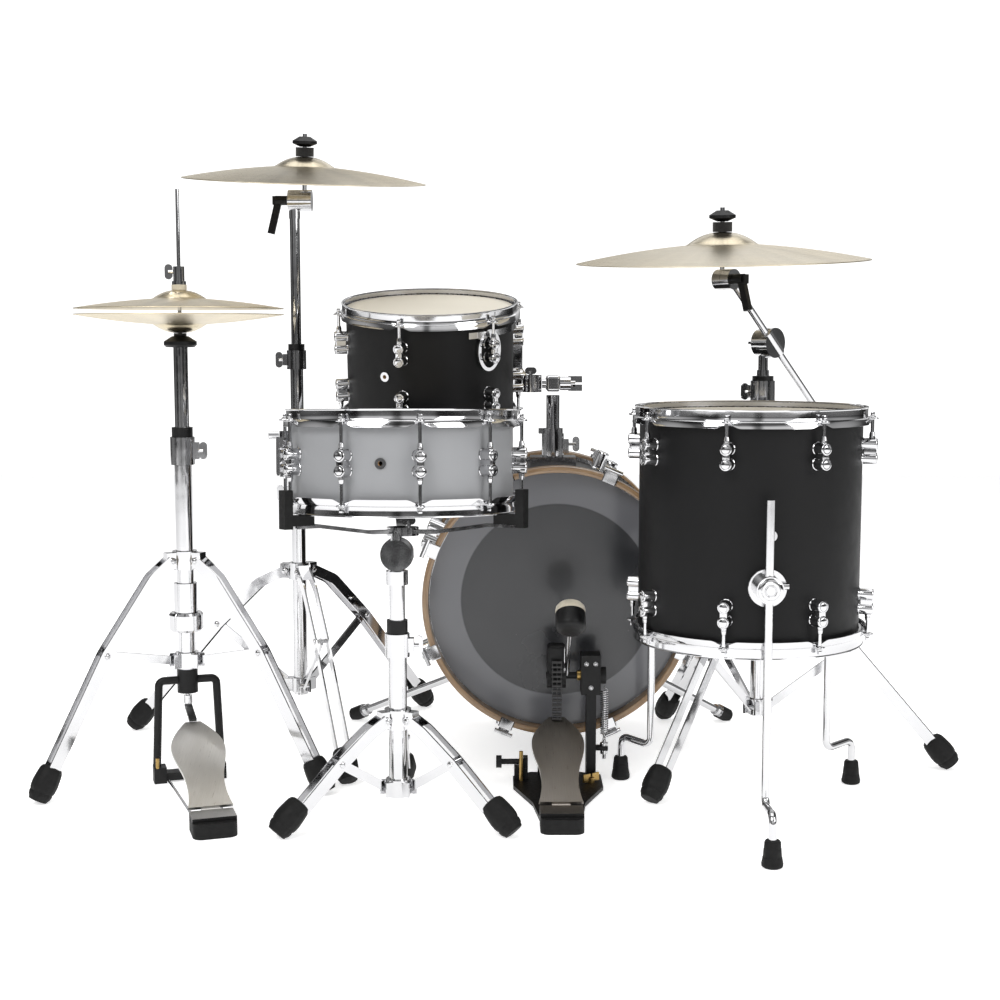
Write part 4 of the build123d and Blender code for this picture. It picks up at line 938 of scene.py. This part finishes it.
def bass_hardware():
    """Maple hoops with a dark inlay and rounded edges, and turned lugs."""
    frame = mm_frame(BASS_CENTRE, -90.0)
    far = frame @ Matrix.Translation((0, 0, 2 * BASS_MID_Y)) @ Matrix.Rotation(pi, 4, "X")
    hoops, lugs = Piece("bass_hoop_pair"), Piece("bass_turrets")
    wide, out, inner = BASS_HOOP_W, BASS_HOOP_R, BASS_HOOP_R - BASS_HOOP_T
    mid = wide / 2
    ring = [
        (inner, 2.4), (inner + 0.7, 0.7), (inner + 2.4, 0), (out - 2.6, 0), (out - 0.8, 0.8), (out, 2.6),
        (out, mid - 5), (out - 1.0, mid - 4.4), (out - 1.0, mid + 4.4), (out, mid + 5), (out, wide - 2.6),
        (out - 0.8, wide - 0.8), (out - 2.6, wide), (inner + 1.2, wide), (inner, wide - 1.2), (inner, 2.4),
    ]
    inlay = [
        (out - 1.6, mid - 4.3), (out - 0.5, mid - 4.1), (out - 0.5, mid + 4.1), (out - 1.6, mid + 4.3),
        (out - 1.6, mid - 4.3),
    ]
    turret = [(r * 1.26, h * 1.54) for r, h in TURRET]
    for end in (frame, far):
        hoops.lathe(end, ring, maple, 180)
        hoops.lathe(end, inlay, black_lacquer, 180)
        for angle in BASS_ANGLES:
            spot = end @ around(angle, BASS_R, BASS_LUG_IN)
            for offset in (-14.0, 14.0):
                lugs.lathe(spot @ Matrix.Translation((0, 0, offset)) @ OUTWARD, turret, chrome, 40)
            lugs.box(spot, (15.0, 0, 0), (36.0, 13.6, 28.0), chrome, 2.6, 3)
    hoops.done("kit", "maple", ("bass_hoops",))
    lugs.done("kit", "chrome", ("bass_lugs",))


def make_rivets():
    """Domed pin heads on both sides of every tripod leg, at its top and at its knee."""
    piece = Piece("leg_rivets")
    dome = [(0.01, 2.6), (2.2, 2.4), (4.0, 1.5), (4.6, 0.4), (5.6, 0.3), (5.9, 0), (5.9, -0.6), (0.01, -0.6)]
    for (x, y), leg, angles in STANDS:
        for angle in angles:
            frame = Matrix.Translation(at(x, y)) @ Matrix.Rotation(radians(angle), 4, "Z") @ Matrix.Scale(MM, 4)
            for s, z in (leg[0], leg[2]):
                for side in (-1, 1):
                    spot = frame @ Matrix.Translation((s, side * 13.2, z))
                    piece.lathe(spot @ Matrix.Rotation(-side * pi / 2, 4, "X"), dome, chrome, 20)
    piece.done("kit", "chrome")


def make_bracket_faces():
    """The ringed cap and the collar on the face of each floor tom leg bracket."""
    piece = Piece("leg_bracket_faces")
    frame = mm_frame(FLOOR_AT)
    cap = [
        (0.01, 3.0), (7.0, 3.0), (7.6, 2.4), (8.6, 2.4), (9.4, 3.2), (13.6, 3.2),
        (14.4, 2.2), (16.4, 2.0), (18.8, 0.8), (19.4, -0.6), (0.01, -0.6),
    ]
    collar = [(24.0, 10.6), (28.2, 10.6), (29.3, 9.6), (29.8, 8.2), (29.8, 6.4), (28.6, 6.4)]
    for angle in FLOOR_LEG_ANGLES:
        piece.lathe(frame @ around(angle, FLOOR_R + 37.0, FLOOR_BRACKET_Z) @ OUTWARD, cap, chrome, 48)
        piece.lathe(frame @ around(angle, FLOOR_R, FLOOR_BRACKET_Z) @ OUTWARD, collar, chrome, 64)
    piece.done("floor_tom", "chrome")


# ---------------------------------------------------------------- pedal details
def roller_chain(piece, frame, length, strands, finish):
    """Rollers and side plates hanging along local -Z from the frame's origin."""
    pitch = length / max(1, round(length / 8.0))
    steps = round(length / pitch)
    wide = 8.0 * strands
    roller = [
        (0.01, 0), (1.9, 0), (1.9, 0.9), (2.7, 1.1),
        (2.7, wide + 0.5), (1.9, wide + 0.7), (1.9, wide + 1.6), (0.01, wide + 1.6),
    ]
    for k in range(steps + 1):
        spot = frame @ Matrix.Translation((-wide / 2 - 0.8, 0, -k * pitch))
        piece.lathe(spot @ OUTWARD, roller, finish, 14)
    for k in range(steps):
        push = 0.9 if k % 2 else 0.0
        for strand in range(strands + 1):
            x = -wide / 2 + strand * 8.0
            x += push * (1 if x <= 0 else -1)
            piece.box(frame, (x, 0, -(k + 0.5) * pitch), (1.1, 5.2, pitch + 4.6), finish, 0.5)


def coil(piece, centre, radius, wire, low, high, turns, finish):
    """A close-wound spring along Z."""
    points = []
    steps = turns * 14
    for k in range(steps + 1):
        angle = tau * k / 14
        z = low + (high - low) * k / steps
        points.append(at(centre[0] + radius * cos(angle), centre[1] + radius * sin(angle), z))
    piece.tube(points, wire * MM, finish, 7)


def make_beater():
    """The beater's head, half plastic and half felt, with the lock under it."""
    lean = radians(BEATER_LEAN)
    tip = Vector((BEATER_X, AXLE_Y - BEATER_L * sin(lean), AXLE_Z + BEATER_L * cos(lean)))
    shaft = Vector((0, -sin(lean), cos(lean)))
    frame = placed(tip, Vector((0, cos(lean), sin(lean))))
    back = [(0.01, -26), (15, -26), (20, -24.6), (23.4, -21), (25, -16), (25, 8), (24.2, 8.8), (0.01, 8.8)]
    face = [(0.01, 8.8), (24.4, 8.8), (25, 9.8), (25, 15), (24, 19.5), (20.5, 23.8), (15, 26), (0.01, 26)]
    lock = [(4.4, 0), (8.2, 0), (8.6, 0.6), (8.6, 4), (4.4, 5)]
    head = Piece("beater_two_tone")
    head.lathe(frame, back, plastic, 48)
    head.lathe(frame, face, felt_pale, 48)
    head.lathe(placed(tip - shaft * 27, shaft), lock, chrome, 28)
    head.done("beater", "felt", ("beater_head",))


def make_pedal_chain():
    """The bass pedal's double roller chain, hanging between the cam and the board."""
    chain = Piece("bass_double_chain")
    roller_chain(chain, mm_frame((PEDAL_X, CHAIN_Y, 219.0)), 100.0, 2, chain_steel)
    chain.done("kit", "black_metal", ("bass_pedal_chain",),
               bends=("kit", "bass_pedal", at(PEDAL_X, CHAIN_Y, 206.0), at(PEDAL_X, CHAIN_Y, 120.0)))


def make_axle_bushes():
    """The brass bush where the axle leaves the bearing, and the screws of the bearing's cap."""
    bush = Piece("axle_bushes")
    ring = [(6.4, 0), (8.4, 0), (9.0, 0.6), (9.0, 6.4), (8.4, 7.0), (6.4, 7.0), (6.4, 0)]
    screw = [(0.01, 1.8), (1.6, 1.8), (1.6, 0.6), (3.4, 1.6), (4.2, 0.9), (4.2, -1.2), (0.01, -1.2)]
    bush.lathe(placed((PEDAL_X + 36.0, AXLE_Y, AXLE_Z), (1, 0, 0)), ring, brass_screw, 32)
    for out, z in ((52.0, 214.0), (68.0, 214.0), (60.0, 172.0)):
        bush.lathe(placed((PEDAL_X + out, -70.6 - 1.2, z), (0, -1, 0)), screw, steel, 24)
    bush.done("kit", "black_metal")


def make_pedal_spring():
    """The return spring with its eye, threaded rod, bracket block and two knurled nuts."""
    x, y = SPRING_X, AXLE_Y
    spring = Piece("bass_coil_spring")
    coil(spring, (x, y), 6.2, 1.2, 84, 163, 20, chrome)
    eye = [(x, y, 83), (x, y, 79), (x + 2.2, y, 76.5), (x, y, 74), (x - 2.2, y, 76.5), (x, y, 79)]
    hook = [(x + 6.2, y, 163), (x + 3, y, 166), (x, y, 167), (x, y, 171)]
    for bend in (eye, hook):
        spring.tube([at(*p) for p in bend], 1.2 * MM, chrome, 7)
    thread = [(0.01, 0)]
    for k in range(22):
        thread += [(3.4, 0.4 + 1.6 * k), (2.8, 1.2 + 1.6 * k)]
    spring.lathe(placed((x, y, 40)), thread + [(0.01, 36.5)], chrome, 18)
    spring.box(Matrix.Scale(MM, 4), tuple(c / MM for c in at(x - 4.5, y, 60)), (22, 14, 8), plastic, 1.2)
    upper = [(0.01, 0), (7, 0), (7.4, 0.6), (7.4, 4.4), (7, 5), (0.01, 5)]
    lower = [(0.01, 0), (6.2, 0), (6.6, 0.5), (6.6, 5.8), (6.2, 6.4), (0.01, 6.4)]
    for z, nut in ((64.2, upper), (49, lower)):
        spring.lathe(placed((x, y, z)), nut, chrome, 36, flute=(18, 0.03))
    spring.done("kit", "chrome", ("bass_pedal_spring",),
                bends=("kit", "beater", at(x, y, 82.0), at(x, y, 166.0)))


def paint_pedals():
    """Black pedal castings with plated screws, rubber grips and brushed boards."""
    def frame_pick(x, y, z):
        if y < -312 and z < 24:
            return 1
        if hypot(x - (PEDAL_X - 62), y + 76.6) < 4 and z > 7.1:
            return 2
        if hypot(x - (PEDAL_X + 60), y + 86) < 18 and y < -75 and 7.1 < z < 30:
            return 2
        if -339 < y < -290 and z > HEEL_TOP - 0.6:
            return 3
        return 0

    paint("bass_pedal_frame", powder, rubber, brass_screw, board_dark, by=frame_pick)
    paint("beater_axle", powder, chrome, by=lambda x, y, z: int(y < -62 and z > 202 and x > 97))
    paint("bass_footboard", board_dark)
    paint("hihat_footboard", board_steel)
    paint("hihat_pedal_chain", chain_steel)
    paint("rubber_feet", rubber)
    yaw = radians(HAT_YAW)

    def hat_frame(x, y, z):
        dx, dy = x - HAT_AT[0], y - HAT_AT[1]
        ly = -sin(yaw) * dx + cos(yaw) * dy
        lx = cos(yaw) * dx + sin(yaw) * dy
        if ly < -300 and z < 24:
            return 1
        if -336 < ly < -286 and z > HEEL_TOP - 0.6:
            return 4
        if -270 < ly < -20 and z < 11:
            return 3
        if hypot(lx + 57, ly + 16) < 4 and z > 28.1:
            return 2
        return 0

    paint("hihat_pedal_frame", powder, rubber, brass_screw, chrome, board_steel, by=hat_frame)


# ---------------------------------------------------------------- floor and lights
def make_floor():
    """A pale floor that carries only soft shadows."""
    data = bpy.data.meshes.new("floor")
    half = 6.0
    corners = [(-half, -half, 0), (half, -half, 0), (half, half, 0), (-half, half, 0)]
    data.from_pydata(corners, [], [(0, 1, 2, 3)])
    floor = bpy.data.objects.new("floor", data)
    floor.location.z = -0.0004
    bpy.context.scene.collection.objects.link(floor)
    mat, tree, shader = new_material("floor")
    shader.inputs["Roughness"].default_value = 0.8
    drift = noise(tree, object_coords(tree), 0.8)
    pale = ramp(tree, drift, [(0.3, (0.92, 0.92, 0.92, 1)), (0.7, (0.94, 0.94, 0.94, 1))])
    tree.links.new(pale, shader.inputs["Base Color"])
    shader.inputs["Emission Color"].default_value = (1.0, 1.0, 1.0, 1)
    shader.inputs["Emission Strength"].default_value = 0.6
    data.materials.append(mat)


def make_lights():
    """Four area lights in the banded room, shown without a film curve so that white stays white."""
    bpy.context.scene.view_settings.view_transform = "Standard"
    make_world()
    area_light("key", (-2.2, -3.2, 3.6), (0, 0, 0.5), (2.4, 2.0), 120)
    area_light("fill", (3.0, -2.6, 2.4), (0, 0, 0.5), (2.0, 2.4), 70)
    area_light("top", (0, 0.3, 3.8), (0, 0, 0), (3.5, 3.5), 62)
    area_light("back", (0.8, 3.4, 3.4), (0, 0, 0.6), (3.0, 1.6), 14)


make_camera()
make_floor()
make_lights()
paint_stands()
paint_hat()
paint_drums()
paint_pedals()
drum_hardware("rack_tom", "rack_tom", TOM_AT, TOM_R, TOM_DEPTH, TOM_TILT, TOM_ANGLES)
drum_hardware("floor_tom", "floor_tom", FLOOR_AT, FLOOR_R, FLOOR_DEPTH, 0.0, FLOOR_ANGLES)
drum_hardware("snare", "snare", SNARE_MID, SNARE_R, SNARE_DEPTH, SNARE_TILT, SNARE_ANGLES, shared=True)
bass_hardware()
make_rivets()
make_bracket_faces()
make_beater()
make_pedal_chain()
make_axle_bushes()
make_pedal_spring()
make_cymbals()
make_feet()
